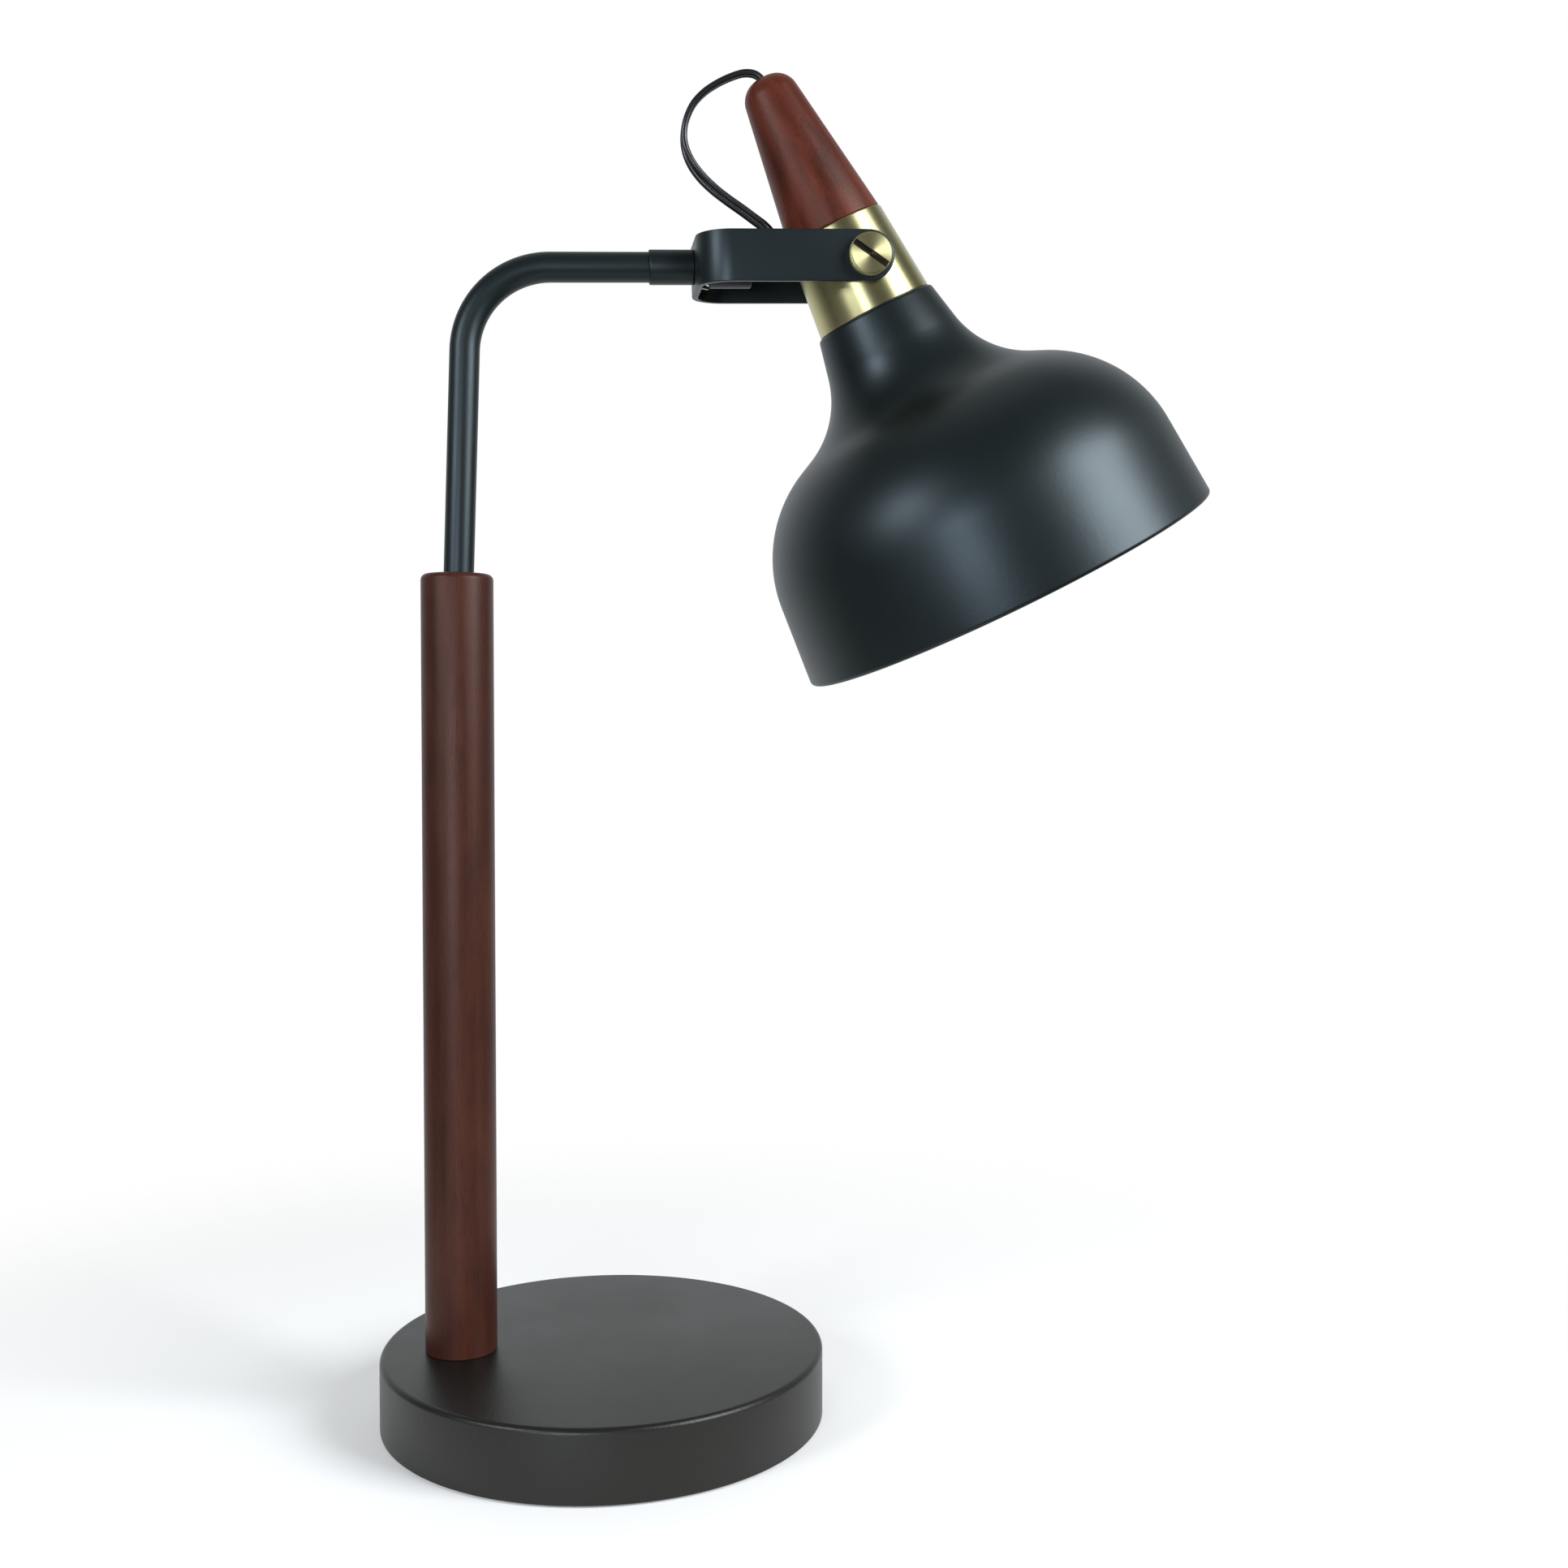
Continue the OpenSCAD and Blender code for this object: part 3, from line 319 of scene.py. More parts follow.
# Closed-cell foam: matt black, pitted with cells of about 0.7 mm.
cells = add(tree, "ShaderNodeTexVoronoi", {"Vector": (coords, "Object"), "Scale": 1400.0})
tone = add(tree, "ShaderNodeMix", {0: (cells, "Distance"), 6: srgb("#101112"),
                                   7: srgb("#232526")}, data_type="RGBA")
relief = add(tree, "ShaderNodeBump", {"Height": (cells, "Distance"), "Strength": 0.5,
                                      "Distance": 0.0004})
feed(surface, {"Base Color": (tone, 2), "Normal": (relief, "Normal"), "Roughness": 0.9,
               "IOR": 1.45})
repaint(foam, "foam", "base_pad")

rolled_steel, tree, surface, coords = finish_of("rolled_steel")
# Plain sheet and bar, with the drawn lines of the mill about 0.5 mm apart along X.
lay = add(tree, "ShaderNodeMapping", {"Vector": (coords, "Object"),
                                      "Scale": (40.0, 2000.0, 2000.0)})
lines = add(tree, "ShaderNodeTexNoise", {"Vector": (lay, "Vector"), "Scale": 1.0,
                                         "Detail": 3.0})
tone = add(tree, "ShaderNodeMix", {0: (lines, "Fac"), 6: srgb("#8d8f92"), 7: srgb("#b4b6b9")},
           data_type="RGBA")
relief = add(tree, "ShaderNodeBump", {"Height": (lines, "Fac"), "Strength": 0.2,
                                      "Distance": 0.0001})
feed(surface, {"Base Color": (tone, 2), "Normal": (relief, "Normal"), "Metallic": 1.0,
               "Roughness": 0.38})
repaint(rolled_steel, "steel", "base_plate", "leg_plug", "arm_plug")

zinc_plate, tree, surface, coords = finish_of("bright_zinc_plate")
# Thin bright plating on steel, with bluish and yellowish clouds a few mm across.
cloud = add(tree, "ShaderNodeTexNoise", {"Vector": (coords, "Object"), "Scale": 160.0,
                                         "Detail": 3.0})
tone = add(tree, "ShaderNodeMix", {0: (cloud, "Fac"), 6: srgb("#b9bdc2"), 7: srgb("#d6d5cc")},
           data_type="RGBA")
gloss = add(tree, "ShaderNodeMapRange", {"Value": (cloud, "Fac"), "To Min": 0.22,
                                         "To Max": 0.4})
feed(surface, {"Base Color": (tone, 2), "Roughness": (gloss, 0), "Metallic": 1.0})
repaint(zinc_plate, "zinc", "plate_screws", "post_pipe", "pipe_nut", "pipe_washer")

moulded_black, tree, surface, coords = finish_of("moulded_black_abs")
# Moulded ABS with a fine spark texture of about 0.4 mm.
spark = add(tree, "ShaderNodeTexNoise", {"Vector": (coords, "Object"), "Scale": 2400.0,
                                         "Detail": 2.0})
tone = add(tree, "ShaderNodeMix", {0: (spark, "Fac"), 6: srgb("#0b0d0e"), 7: srgb("#121516")},
           data_type="RGBA")
relief = add(tree, "ShaderNodeBump", {"Height": (spark, "Fac"), "Strength": 0.25,
                                      "Distance": 0.0001})
feed(surface, {"Base Color": (tone, 2), "Normal": (relief, "Normal"), "Roughness": 0.42,
               "IOR": 1.54, "Specular IOR Level": 0.3})
repaint(moulded_black, "black_plastic", "inlet_bushing", "grip_screw")


# POST. Turned hardwood with a dark stain under satin lacquer. It stands on the foot, and a
# threaded pipe through it ties the foot to the arm's tube.
def seen_from(place, tree, coords, shift=0.0):
    """The object's coordinates, turned into a place and shifted there by some metres."""
    origin, axes = place
    return add(tree, "ShaderNodeMapping", {
        "Vector": (coords, "Object"), "Location": (-axes.T @ origin / 1000 + shift).tolist(),
        "Rotation": Matrix(axes.T).to_euler("XYZ")})


def stained_wood(name, dark, light, place, seed):
    """A stained wood whose grain runs up the Z axis of a place, drawn out along it. The seed
    shifts the grain, so that no two pieces show the same."""
    material, tree, surface, coords = finish_of(name)
    local = seen_from(place, tree, coords, seed)
    # Growth rings show as soft bands about 4 mm apart, and the stain takes in blotches.
    bands = add(tree, "ShaderNodeMapping", {"Vector": (local, "Vector"),
                                            "Scale": (240.0, 240.0, 9.0)})
    band = add(tree, "ShaderNodeTexNoise", {"Vector": (bands, "Vector"), "Scale": 1.0,
                                            "Detail": 5.0, "Distortion": 0.4})
    blotches = add(tree, "ShaderNodeMapping", {"Vector": (local, "Vector"),
                                               "Scale": (75.0, 75.0, 28.0)})
    blotch = add(tree, "ShaderNodeTexNoise", {"Vector": (blotches, "Vector"), "Scale": 1.0,
                                              "Detail": 2.0})
    # Vessels show as dark dashes 0.25 mm wide and a few mm long.
    dashes = add(tree, "ShaderNodeMapping", {"Vector": (local, "Vector"),
                                             "Scale": (3400.0, 3400.0, 170.0)})
    pores = add(tree, "ShaderNodeTexNoise", {"Vector": (dashes, "Vector"), "Scale": 1.0,
                                             "Detail": 2.0})
    open_pores = add(tree, "ShaderNodeMapRange", {"Value": (pores, "Fac"), "From Min": 0.56,
                                                  "From Max": 0.68})
    depth = add(tree, "ShaderNodeMix", {0: 0.45, 2: (blotch, "Fac"), 3: (band, "Fac")})
    spread = add(tree, "ShaderNodeMapRange", {"Value": (depth, 0), "From Min": 0.3,
                                              "From Max": 0.7})
    tone = add(tree, "ShaderNodeMix", {0: (spread, 0), 6: srgb(dark), 7: srgb(light)},
               data_type="RGBA")
    share = add(tree, "ShaderNodeMath", {0: (open_pores, 0), 1: 0.42}, operation="MULTIPLY")
    pored = add(tree, "ShaderNodeMix", {0: (share, 0), 6: (tone, 2), 7: srgb("#160a07")},
                data_type="RGBA")
    gloss = add(tree, "ShaderNodeMapRange", {"Value": (band, "Fac"), "To Min": 0.36,
                                             "To Max": 0.46})
    relief = add(tree, "ShaderNodeBump", {"Height": (pores, "Fac"), "Strength": 0.25,
                                          "Distance": 0.00025}, invert=True)
    feed(surface, {"Base Color": (pored, 2), "Roughness": (gloss, 0), "Normal": (relief, "Normal"),
                   "IOR": 1.5, "Specular IOR Level": 0.28, "Specular Tint": srgb("#ffe2d6")})
    return material


post_x, post_r, post_top, post_round, socket = -57, 14.3, 339.7, 2.5, 22
post_place = (np.array([post_x, 0, 0.0]), np.eye(3))
post_wood = stained_wood("dark_stained_hardwood", "#2d150f", "#4a271c", post_place, 0.0)
post = turned("post", rounded_corners(
    [(0, post_top), (post_r, post_top), (post_r, base_top), (0, base_top)],
    [0, post_round, 0.4, 0], 8), post_place, "stand", post_wood)
stands_for(post, "wood", "wood_post")


# ARM. Drawn steel tube, 12 mm across with a 1 mm wall, bent once and powder coated. It
# leans a little in its socket in the post, and its arm rises a little to the pivot.
lean, rise_angle, tube_r, bend_r = 1.8, 1.7, 6.0, 35.0
pivot = np.array([105.0, 0, 466.0])
tan_lean, tan_rise = np.tan(np.radians([lean, rise_angle]))
leg_foot = np.array([post_x, 0, post_top - socket])
corner_x = ((post_x + (pivot[2] - pivot[0] * tan_rise - leg_foot[2]) * tan_lean)
            / (1 - tan_rise * tan_lean))
corner = np.array([corner_x, 0, pivot[2] + (corner_x - pivot[0]) * tan_rise])
leg_up = np.array([np.sin(np.radians(lean)), 0, np.cos(np.radians(lean))])
arm_out = np.array([np.cos(np.radians(rise_angle)), 0, np.sin(np.radians(rise_angle))])
bend = np.radians(90 - lean - rise_angle)
reach = bend_r * np.tan(bend / 2)
yoke_back = 67.4
bend_start, bend_end = corner - reach * leg_up, corner + reach * arm_out
across = np.array([leg_up[2], 0, -leg_up[0]])
turn = np.linspace(0, bend, 33)[:, None]
elbow = bend_start + bend_r * ((1 - np.cos(turn)) * across + np.sin(turn) * leg_up)
tube_end = pivot - yoke_back * arm_out
straight = np.linspace(0, 1, 12)[:, None]
tube_line = np.vstack([leg_foot + (bend_start - leg_foot) * straight[:-1], elbow,
                       bend_end + (tube_end - bend_end) * straight[1:]])
ring = np.radians(np.arange(0, 360, 7.5))
circle = tube_r * np.stack([np.cos(ring), np.sin(ring)], 1)
tube = skin("arm", carried(tube_line, np.broadcast_to(circle, (len(tube_line), *circle.shape))),
            "stand", powder_coat, tips=(tube_line[0], tube_line[-1]))
stands_for(tube, "black_paint", "arm_tube")

yoke_roll = 3.6
arm_axes = turned_axes("y", -rise_angle) @ turned_axes("x", yoke_roll)
along_arm = (pivot, arm_axes @ turned_axes("y", 90))
sleeve_r, sleeve_len, sleeve_bore_r = 6.9, 18, tube_r - 0.4
sleeve = turned("arm_sleeve_ring", rounded_corners(
    [(sleeve_bore_r, -yoke_back - sleeve_len), (sleeve_r, -yoke_back - sleeve_len),
     (sleeve_r, -yoke_back), (sleeve_bore_r, -yoke_back)], [0, 0.5, 0.5, 0]),
    along_arm, "stand", powder_coat)
stands_for(sleeve, "black_paint", "arm_sleeve")


# YOKE. Flat bar, 20 by 2.5 mm, bent to a U with round ends, and powder coated. A threaded
# pipe holds its web against the sleeve, with a toothed washer and the cord grip inside.
bar_h, bar_t, yoke_gap, yoke_round, bar_edge = 20.0, 2.5, 47.5, 14.0, 0.4
mid_y, mid_r = (yoke_gap + bar_t) / 2, yoke_round - bar_t / 2
mid_x = bar_t / 2 - yoke_back
tip_steps, side_steps, back_steps = 16, 13, 4
tip = np.radians(np.linspace(5, 90, tip_steps))
quarter = np.linspace(0, np.pi / 2, 17)[1:-1]
side_x = np.linspace(0, mid_x + mid_r, side_steps + 1)[1:]
arm_x = np.concatenate([bar_h / 2 * np.cos(tip), side_x,
                        mid_x + mid_r * (1 - np.sin(quarter)), [mid_x] * back_steps])
arm_y = np.concatenate([np.full(tip_steps + side_steps, -mid_y),
                        -mid_y + mid_r * (1 - np.cos(quarter)),
                        np.linspace(-mid_y + mid_r, 0, back_steps + 1)[:-1]])
half_h = np.concatenate([bar_h / 2 * np.sin(tip),
                         np.full(len(arm_x) - tip_steps, bar_h / 2)])
bar_line = np.stack([np.append(arm_x, [mid_x, *arm_x[::-1]]),
                     np.append(arm_y, [0, *-arm_y[::-1]])], 1)
half_h = np.append(half_h, [bar_h / 2, *half_h[::-1]])
bar_way = np.gradient(bar_line, axis=0)
bar_way /= np.linalg.norm(bar_way, axis=1, keepdims=True)
bar_out = np.stack([bar_way[:, 1], -bar_way[:, 0]], 1)
edge = np.radians(np.arange(0, 91, 22.5))
section_x = np.concatenate([bar_t / 2 - bar_edge + bar_edge * np.cos(edge),
                            -bar_t / 2 + bar_edge - bar_edge * np.cos(edge[::-1])])
section_x = np.append(section_x, section_x[::-1])
section_z = bar_edge * np.concatenate([np.sin(edge), np.sin(edge[::-1])]) - bar_edge
side_z = half_h[:, None] + section_z
side_z = np.concatenate([side_z, -side_z[:, ::-1]], 1)
flat = bar_line[:, None] + section_x[:, None] * bar_out[:, None]
bar_rows = np.concatenate([flat, side_z[..., None]], -1) @ arm_axes.T + pivot
ends = [np.append(bar_line[i], 0) @ arm_axes.T + pivot for i in (0, -1)]
yoke = skin("yoke_bar", bar_rows, "stand", powder_coat, tips=ends, sharp=40)
stands_for(yoke, "black_paint", "yoke")
repaint(zinc_plate, "zinc", "tooth_washer", "yoke_pipe")

grip_x, grip_r, grip_len, grip_bore = -61.3, 8.3, 17.0, 3.0
grip = turned("cord_grip_nut", rounded_corners(
    [(grip_bore, grip_x), (grip_r, grip_x), (grip_r, grip_x + grip_len),
     (grip_bore, grip_x + grip_len)], [0, 0.8, 0.8, 0.5]), along_arm, "stand", moulded_black)
stands_for(grip, "black_plastic", "cord_grip")


# COLLAR. A tapered ring of brass, turned and then brushed round its axis, which carries the
# two pivot screws. The handle is screwed down on it and the shade up into it.
def brushed_brass(name, place, smooth=0.3, rough=0.42, slot=None):
    """Brass turned and brushed round the Z axis of a place, in rings about 0.4 mm apart, with
    slow stains. slot, if there is one, is the radius it stays within and the height below which
    painted shade and dirt darken it."""
    origin, axes = place
    material, tree, surface, coords = finish_of(name)
    local = seen_from(place, tree, coords)
    apart = add(tree, "ShaderNodeSeparateXYZ", {0: (local, "Vector")})
    flat = add(tree, "ShaderNodeVectorMath", {0: (local, "Vector"), 1: (1, 1, 0)},
               operation="MULTIPLY")
    off = add(tree, "ShaderNodeVectorMath", {0: (flat, "Vector")}, operation="LENGTH")
    # A tool that works round the axis leaves rings on a face and lines on a side.
    tool = add(tree, "ShaderNodeMath", {0: (off, "Value"), 1: (apart, "Z")}, operation="ADD")
    slow = add(tree, "ShaderNodeVectorMath", {0: (local, "Vector"), 1: (14, 14, 0)},
               operation="MULTIPLY")
    lines = add(tree, "ShaderNodeCombineXYZ", {"Z": (tool, 0)})
    squeezed = add(tree, "ShaderNodeVectorMath", {0: (lines, "Vector"), 1: (0, 0, 2500),
                                                  2: (slow, "Vector")}, operation="MULTIPLY_ADD")
    brush = add(tree, "ShaderNodeTexNoise", {"Vector": (squeezed, "Vector"), "Scale": 1.0,
                                             "Detail": 3.0, "Roughness": 0.6})
    stain = add(tree, "ShaderNodeTexNoise", {"Vector": (local, "Vector"), "Scale": 60.0,
                                             "Detail": 3.0})
    tone = add(tree, "ShaderNodeMix", {0: (stain, "Fac"), 6: srgb("#b3ac7c"),
                                       7: srgb("#c7c092")}, data_type="RGBA")
    if slot:
        # Painted shade and old dirt darken the slot, all that lies below the face inside its rim.
        inside = add(tree, "ShaderNodeMath", {0: (off, "Value"), 1: slot[0] / 1000},
                     operation="LESS_THAN")
        below = add(tree, "ShaderNodeMath", {0: (apart, "Z"), 1: slot[1] / 1000},
                    operation="LESS_THAN")
        slot_dirt_and_shade = add(tree, "ShaderNodeMath", {0: (inside, 0), 1: (below, 0)},
                     operation="MULTIPLY")
        tone = add(tree, "ShaderNodeMix", {0: (slot_dirt_and_shade, 0), 6: (tone, 2), 7: srgb("#4a473d")},
                   data_type="RGBA")
    gloss = add(tree, "ShaderNodeMapRange", {"Value": (brush, "Fac"), "To Min": smooth,
                                             "To Max": rough})
    relief = add(tree, "ShaderNodeBump", {"Height": (brush, "Fac"), "Strength": 0.12,
                                          "Distance": 0.0001})
    feed(surface, {"Base Color": (tone, 2), "Roughness": (gloss, 0), "Normal": (relief, "Normal")})
    # The rings stretch each highlight across them, so the tangent runs round the axis.
    centred = add(tree, "ShaderNodeVectorMath", {0: (coords, "Object"),
                                                 1: (origin / 1000).tolist()},
                  operation="SUBTRACT")
    around = add(tree, "ShaderNodeVectorMath", {0: axes[:, 2].tolist(), 1: (centred, "Vector")},
                 operation="CROSS_PRODUCT")
    tangent = add(tree, "ShaderNodeVectorTransform", {"Vector": (around, "Vector")},
                  vector_type="VECTOR", convert_from="OBJECT", convert_to="WORLD")
    feed(surface, {"Tangent": (tangent, 0), "Anisotropic": 0.8, "Anisotropic Rotation": 0.25,
                   "Metallic": 1.0})
    return material


tilt, pivot_ahead = 25.5, 2.1
head_axes = arm_axes @ turned_axes("y", -tilt)
head = (pivot - pivot_ahead * head_axes[:, 0], head_axes)
collar_low, collar_h, collar_foot_r, collar_top_r, collar_wall = -19.1, 37.0, 24.3, 20.6, 2.4
collar_top = collar_low + collar_h
collar_brass = brushed_brass("brushed_brass", head)
collar = turned("collar", rounded_corners(
    [(collar_foot_r - collar_wall, collar_low), (collar_foot_r, collar_low),
     (collar_top_r, collar_top), (collar_top_r - collar_wall, collar_top)],
    [0, 0.6, 0.6, 0]), head, "head", collar_brass, around=144)
stands_for(collar, "brass", "neck_collar")
repaint(collar_brass, "brass", "handle_insert")


# HANDLE. A tapered hardwood knob, turned and stained redder than the post, with a bore for
# the cord. It screws on the head's threaded pipe.
handle_r, handle_len, taper, tip_r, bore_r = 20.2, 65.2, 8.8, 9.0, 3.0
tan_taper, cos_taper = np.tan(np.radians(taper)), np.cos(np.radians(taper))
tip_z = collar_top + handle_len - tip_r
tip_x = handle_r - (handle_len - tip_r) * tan_taper - tip_r / cos_taper
bow = np.radians(np.linspace(taper, 86, 16))
outline = np.vstack([
    rounded_corners([(bore_r, collar_top), (handle_r, collar_top),
                     (tip_x + tip_r * np.cos(bow[0]), tip_z + tip_r * np.sin(bow[0]))],
                    [0, 0.9, 0]),
    np.stack([tip_x + tip_r * np.cos(bow[1:]), tip_z + tip_r * np.sin(bow[1:])], 1),
    [(bore_r, tip_z + tip_r - 0.5)]])
handle_wood = stained_wood("red_stained_hardwood", "#38140c", "#6c3121", head, 0.3)
handle = turned("handle", outline, head, "head", handle_wood)
stands_for(handle, "wood", "wood_handle")
repaint(zinc_plate, "zinc", "head_stem", "clamp_nut")


# SHADE. Steel spun on a lathe to a bell with a rolled rim, and powder coated. A nut clamps
# it up against the collar.
def arc(centre, radius, start, stop, steps):
    """Points round a centre between two directions in degrees."""
    t = np.radians(np.linspace(start, stop, steps + 1))[:, None]
    return np.array(centre) + radius * np.hstack([np.cos(t), np.sin(t)])


def way(degrees):
    """The unit step square to a slope, from the axis outwards."""
    return np.array([np.cos(np.radians(degrees)), np.sin(np.radians(degrees))])


neck_r, neck_round, neck_slope, neck_len, flare_r = 25.6, 1.6, 12.4, 14.6, 38.5
shoulder_slope, shoulder_len, dome_r = 65.0, 5.9, 56.8
skirt_slope, skirt_len, rim_round, roll_end = 5.2, 33.0, 1.6, -150
sheet, stem_hole_r = 1.0, 5.05


def shade_line(inset):
    """The sheet's line from the neck to the rolled rim: an edge, a straight neck, a hollow
    flare, a shoulder, a dome, a skirt and the roll, each an arc or a line that meets the one
    before it smoothly. inset moves it inwards from the outside of the sheet."""
    along = {a: np.array([np.sin(np.radians(a)), -np.cos(np.radians(a))])
             for a in (neck_slope, shoulder_slope, skirt_slope)}
    neck = np.array([neck_r, collar_low - neck_round * (1 - way(neck_slope)[1])])
    flare_c = neck + neck_len * along[neck_slope] + flare_r * way(neck_slope)
    shoulder = flare_c - flare_r * way(shoulder_slope)
    dome_c = shoulder + shoulder_len * along[shoulder_slope] - dome_r * way(shoulder_slope)
    rim = dome_c + dome_r * way(skirt_slope) + skirt_len * along[skirt_slope]
    return np.vstack([
        arc(neck - neck_round * way(neck_slope), neck_round - inset, 90, neck_slope, 8),
        arc(flare_c, flare_r + inset, 180 + neck_slope, 180 + shoulder_slope, 32),
        arc(dome_c, dome_r - inset, shoulder_slope, skirt_slope, 40),
        arc(rim - rim_round * way(skirt_slope), rim_round - inset, skirt_slope, roll_end, 12)])


shade = turned("bell_shade", np.vstack([
    [(stem_hole_r, collar_low)], shade_line(0), shade_line(sheet)[::-1],
    [(stem_hole_r, collar_low - sheet)]]),
    head, "head", powder_coat, around=256)
stands_for(shade, "black_paint", "shade")


# PIVOT SCREWS. Turned brass with a straight knurl and a wide slot, one on each side, on
# friction washers of black fibre between the yoke and the collar.
# The slots are darkened with painted shade and dirt from a little below each face.
screw_play, screw_head_h, screw_rim, dirt_and_shade_depth = 0.1, 4, 7.9, 0.8
screw_face = yoke_gap / 2 + bar_t + screw_play + screw_head_h
for side, name in ((-1, "near"), (1, "far")):
    face = (pivot, arm_axes @ turned_axes("x", -90.0 * side))
    screw_brass = brushed_brass("turned_brass_" + name, face, 0.42, 0.52,
                                slot=(screw_rim, screw_face - dirt_and_shade_depth))
    repaint(screw_brass, "brass", "pivot_screw_" + name)

fibre, tree, surface, coords = finish_of("vulcanised_fibre")
# Pressed paper fibre, matt, mottled at about 0.6 mm.
mottle = add(tree, "ShaderNodeTexNoise", {"Vector": (coords, "Object"), "Scale": 1600.0,
                                          "Detail": 4.0})
tone = add(tree, "ShaderNodeMix", {0: (mottle, "Fac"), 6: srgb("#151312"), 7: srgb("#292522")},
           data_type="RGBA")
feed(surface, {"Base Color": (tone, 2), "Roughness": 0.75})
repaint(fibre, "fibre", "friction_washer_near", "friction_washer_far")


# LAMPHOLDER. A moulded black cap and skirt hang on the head's threaded pipe, round a
# porcelain core with a rolled brass screw shell and a springy contact.
holder_r, holder_wall, cap_h, skirt_h, lip, lip_h = 19.0, 1.8, 14.0, 29.0, 1.5, 3
holder_bore_r, boss_r, cap_side_h, cap_slope, cap_roof = holder_r - holder_wall, 8, 6, 5, 4
clamp_nut_h, nut_gap = 4, 0.5
cap_top = collar_low - sheet - clamp_nut_h - nut_gap
skirt_top = cap_top - cap_h
mouth = skirt_top - skirt_h
cap_side_top = skirt_top + cap_side_h
cap = turned("lampholder_cap", rounded_corners(
    [(holder_bore_r, skirt_top), (holder_r, skirt_top), (holder_r, cap_side_top),
     (holder_r - cap_slope, cap_side_top + cap_slope), (boss_r, cap_side_top + cap_slope + 1),
     (boss_r, cap_top), (stem_hole_r, cap_top), (stem_hole_r, cap_side_top + cap_roof),
     (holder_bore_r - cap_slope, cap_side_top + cap_roof), (holder_bore_r, cap_side_top)],
    [0, 0.3, 2, 2, 1, 0.5, 0.2, 0.2, 1, 1]), head, "head", moulded_black)
stands_for(cap, "black_plastic", "holder_cap")
skirt = turned("lampholder_skirt", rounded_corners(
    [(holder_bore_r, mouth), (holder_r + lip, mouth), (holder_r + lip, mouth + lip_h),
     (holder_r, mouth + lip_h + lip), (holder_r, skirt_top), (holder_bore_r, skirt_top)],
    [0.5, 0.9, 0.6, 1, 0.3, 0]), head, "head", moulded_black)
stands_for(skirt, "black_plastic", "holder_skirt")

porcelain, tree, surface, coords = finish_of("glazed_porcelain")
# White body under clear glaze, with a warm mottle and a slight waviness of about 4 mm.
wave = add(tree, "ShaderNodeTexNoise", {"Vector": (coords, "Object"), "Scale": 250.0})
tone = add(tree, "ShaderNodeMix", {0: (wave, "Fac"), 6: srgb("#e2dfd6"), 7: srgb("#f0ede6")},
           data_type="RGBA")
relief = add(tree, "ShaderNodeBump", {"Height": (wave, "Fac"), "Strength": 0.05,
                                      "Distance": 0.0005})
feed(surface, {"Base Color": (tone, 2), "Normal": (relief, "Normal"), "Roughness": 0.12,
               "IOR": 1.55})
repaint(porcelain, "porcelain", "holder_core")
repaint(collar_brass, "brass", "holder_contact")


def rolled_thread(pitch, depth, low, high, run_out=3):
    """The wave of a rolled lamp thread: a cosine that climbs one pitch in each turn, and dies
    away over the run-out at both ends of the threaded length."""
    def ripple(angle, z, r):
        fade = smooth_step((z - low) / run_out) * smooth_step((high - z) / run_out)
        return depth * fade * (np.cos(2 * np.pi * z / pitch - angle) - 1) / 2
    return ripple


thread_pitch, shell_thread = 3.63, 0.5
shell_len, shell_r, shell_bore_r, shell_plain = 25, 14.0, 13.6, 2
shell_low = skirt_top - shell_len
steps = np.linspace(shell_low, skirt_top, 90)
screw_shell = turned("screw_shell", np.vstack([
    np.stack([np.full(len(steps), shell_r), steps], 1),
    np.stack([np.full(len(steps), shell_bore_r), steps[::-1]], 1)]),
    head, "head", collar_brass,
    ripple=rolled_thread(thread_pitch, shell_thread, shell_low + shell_plain, skirt_top))
stands_for(screw_shell, "brass", "holder_shell")


# BULB. A round lamp with a white moulded neck, a frosted diffuser cemented to it and a
# nickel-plated screw cap, screwed up to the contact.
bulb_r, bulb_len, bulb_drop, diffuser_rim_z, diffuser_wall = 27.5, 95, 2.1, 10.0, 1.2
bulb_cap_len, bulb_cap_r, bulb_cap_wall, bulb_cap_thread = 26.0, 13.0, 1.2, 0.8
bulb_neck_r, neck_straight, contact_r, contact_h = 14.5, 2, 3.5, 6.5
bulb_top = skirt_top - bulb_drop
bulb_cap_end, bulb_centre = bulb_top - bulb_cap_len, bulb_top - bulb_len + bulb_r
diffuser_rim_r = np.sqrt(bulb_r ** 2 - diffuser_rim_z ** 2)

white_plastic, tree, surface, coords = finish_of("white_moulded_polycarbonate")
# Matt white housing with a faint moulded texture of about 0.5 mm.
spark = add(tree, "ShaderNodeTexNoise", {"Vector": (coords, "Object"), "Scale": 2000.0})
tone = add(tree, "ShaderNodeMix", {0: (spark, "Fac"), 6: srgb("#e6e6e4"), 7: srgb("#f2f2f0")},
           data_type="RGBA")
relief = add(tree, "ShaderNodeBump", {"Height": (spark, "Fac"), "Strength": 0.1,
                                      "Distance": 0.0001})
feed(surface, {"Base Color": (tone, 2), "Normal": (relief, "Normal"), "Roughness": 0.45,
               "IOR": 1.58})
neck = turned("bulb_housing", rounded_corners(
    [(0, bulb_centre + diffuser_rim_z), (diffuser_rim_r, bulb_centre + diffuser_rim_z),
     (bulb_neck_r, bulb_cap_end - neck_straight), (bulb_neck_r, bulb_cap_end),
     (0, bulb_cap_end)],
    [0, 0.4, 6, 0.5, 0]), head, "head", white_plastic)
stands_for(neck, "bulb_plastic", "bulb_neck")

frosted, tree, surface, coords = finish_of("frosted_polycarbonate")
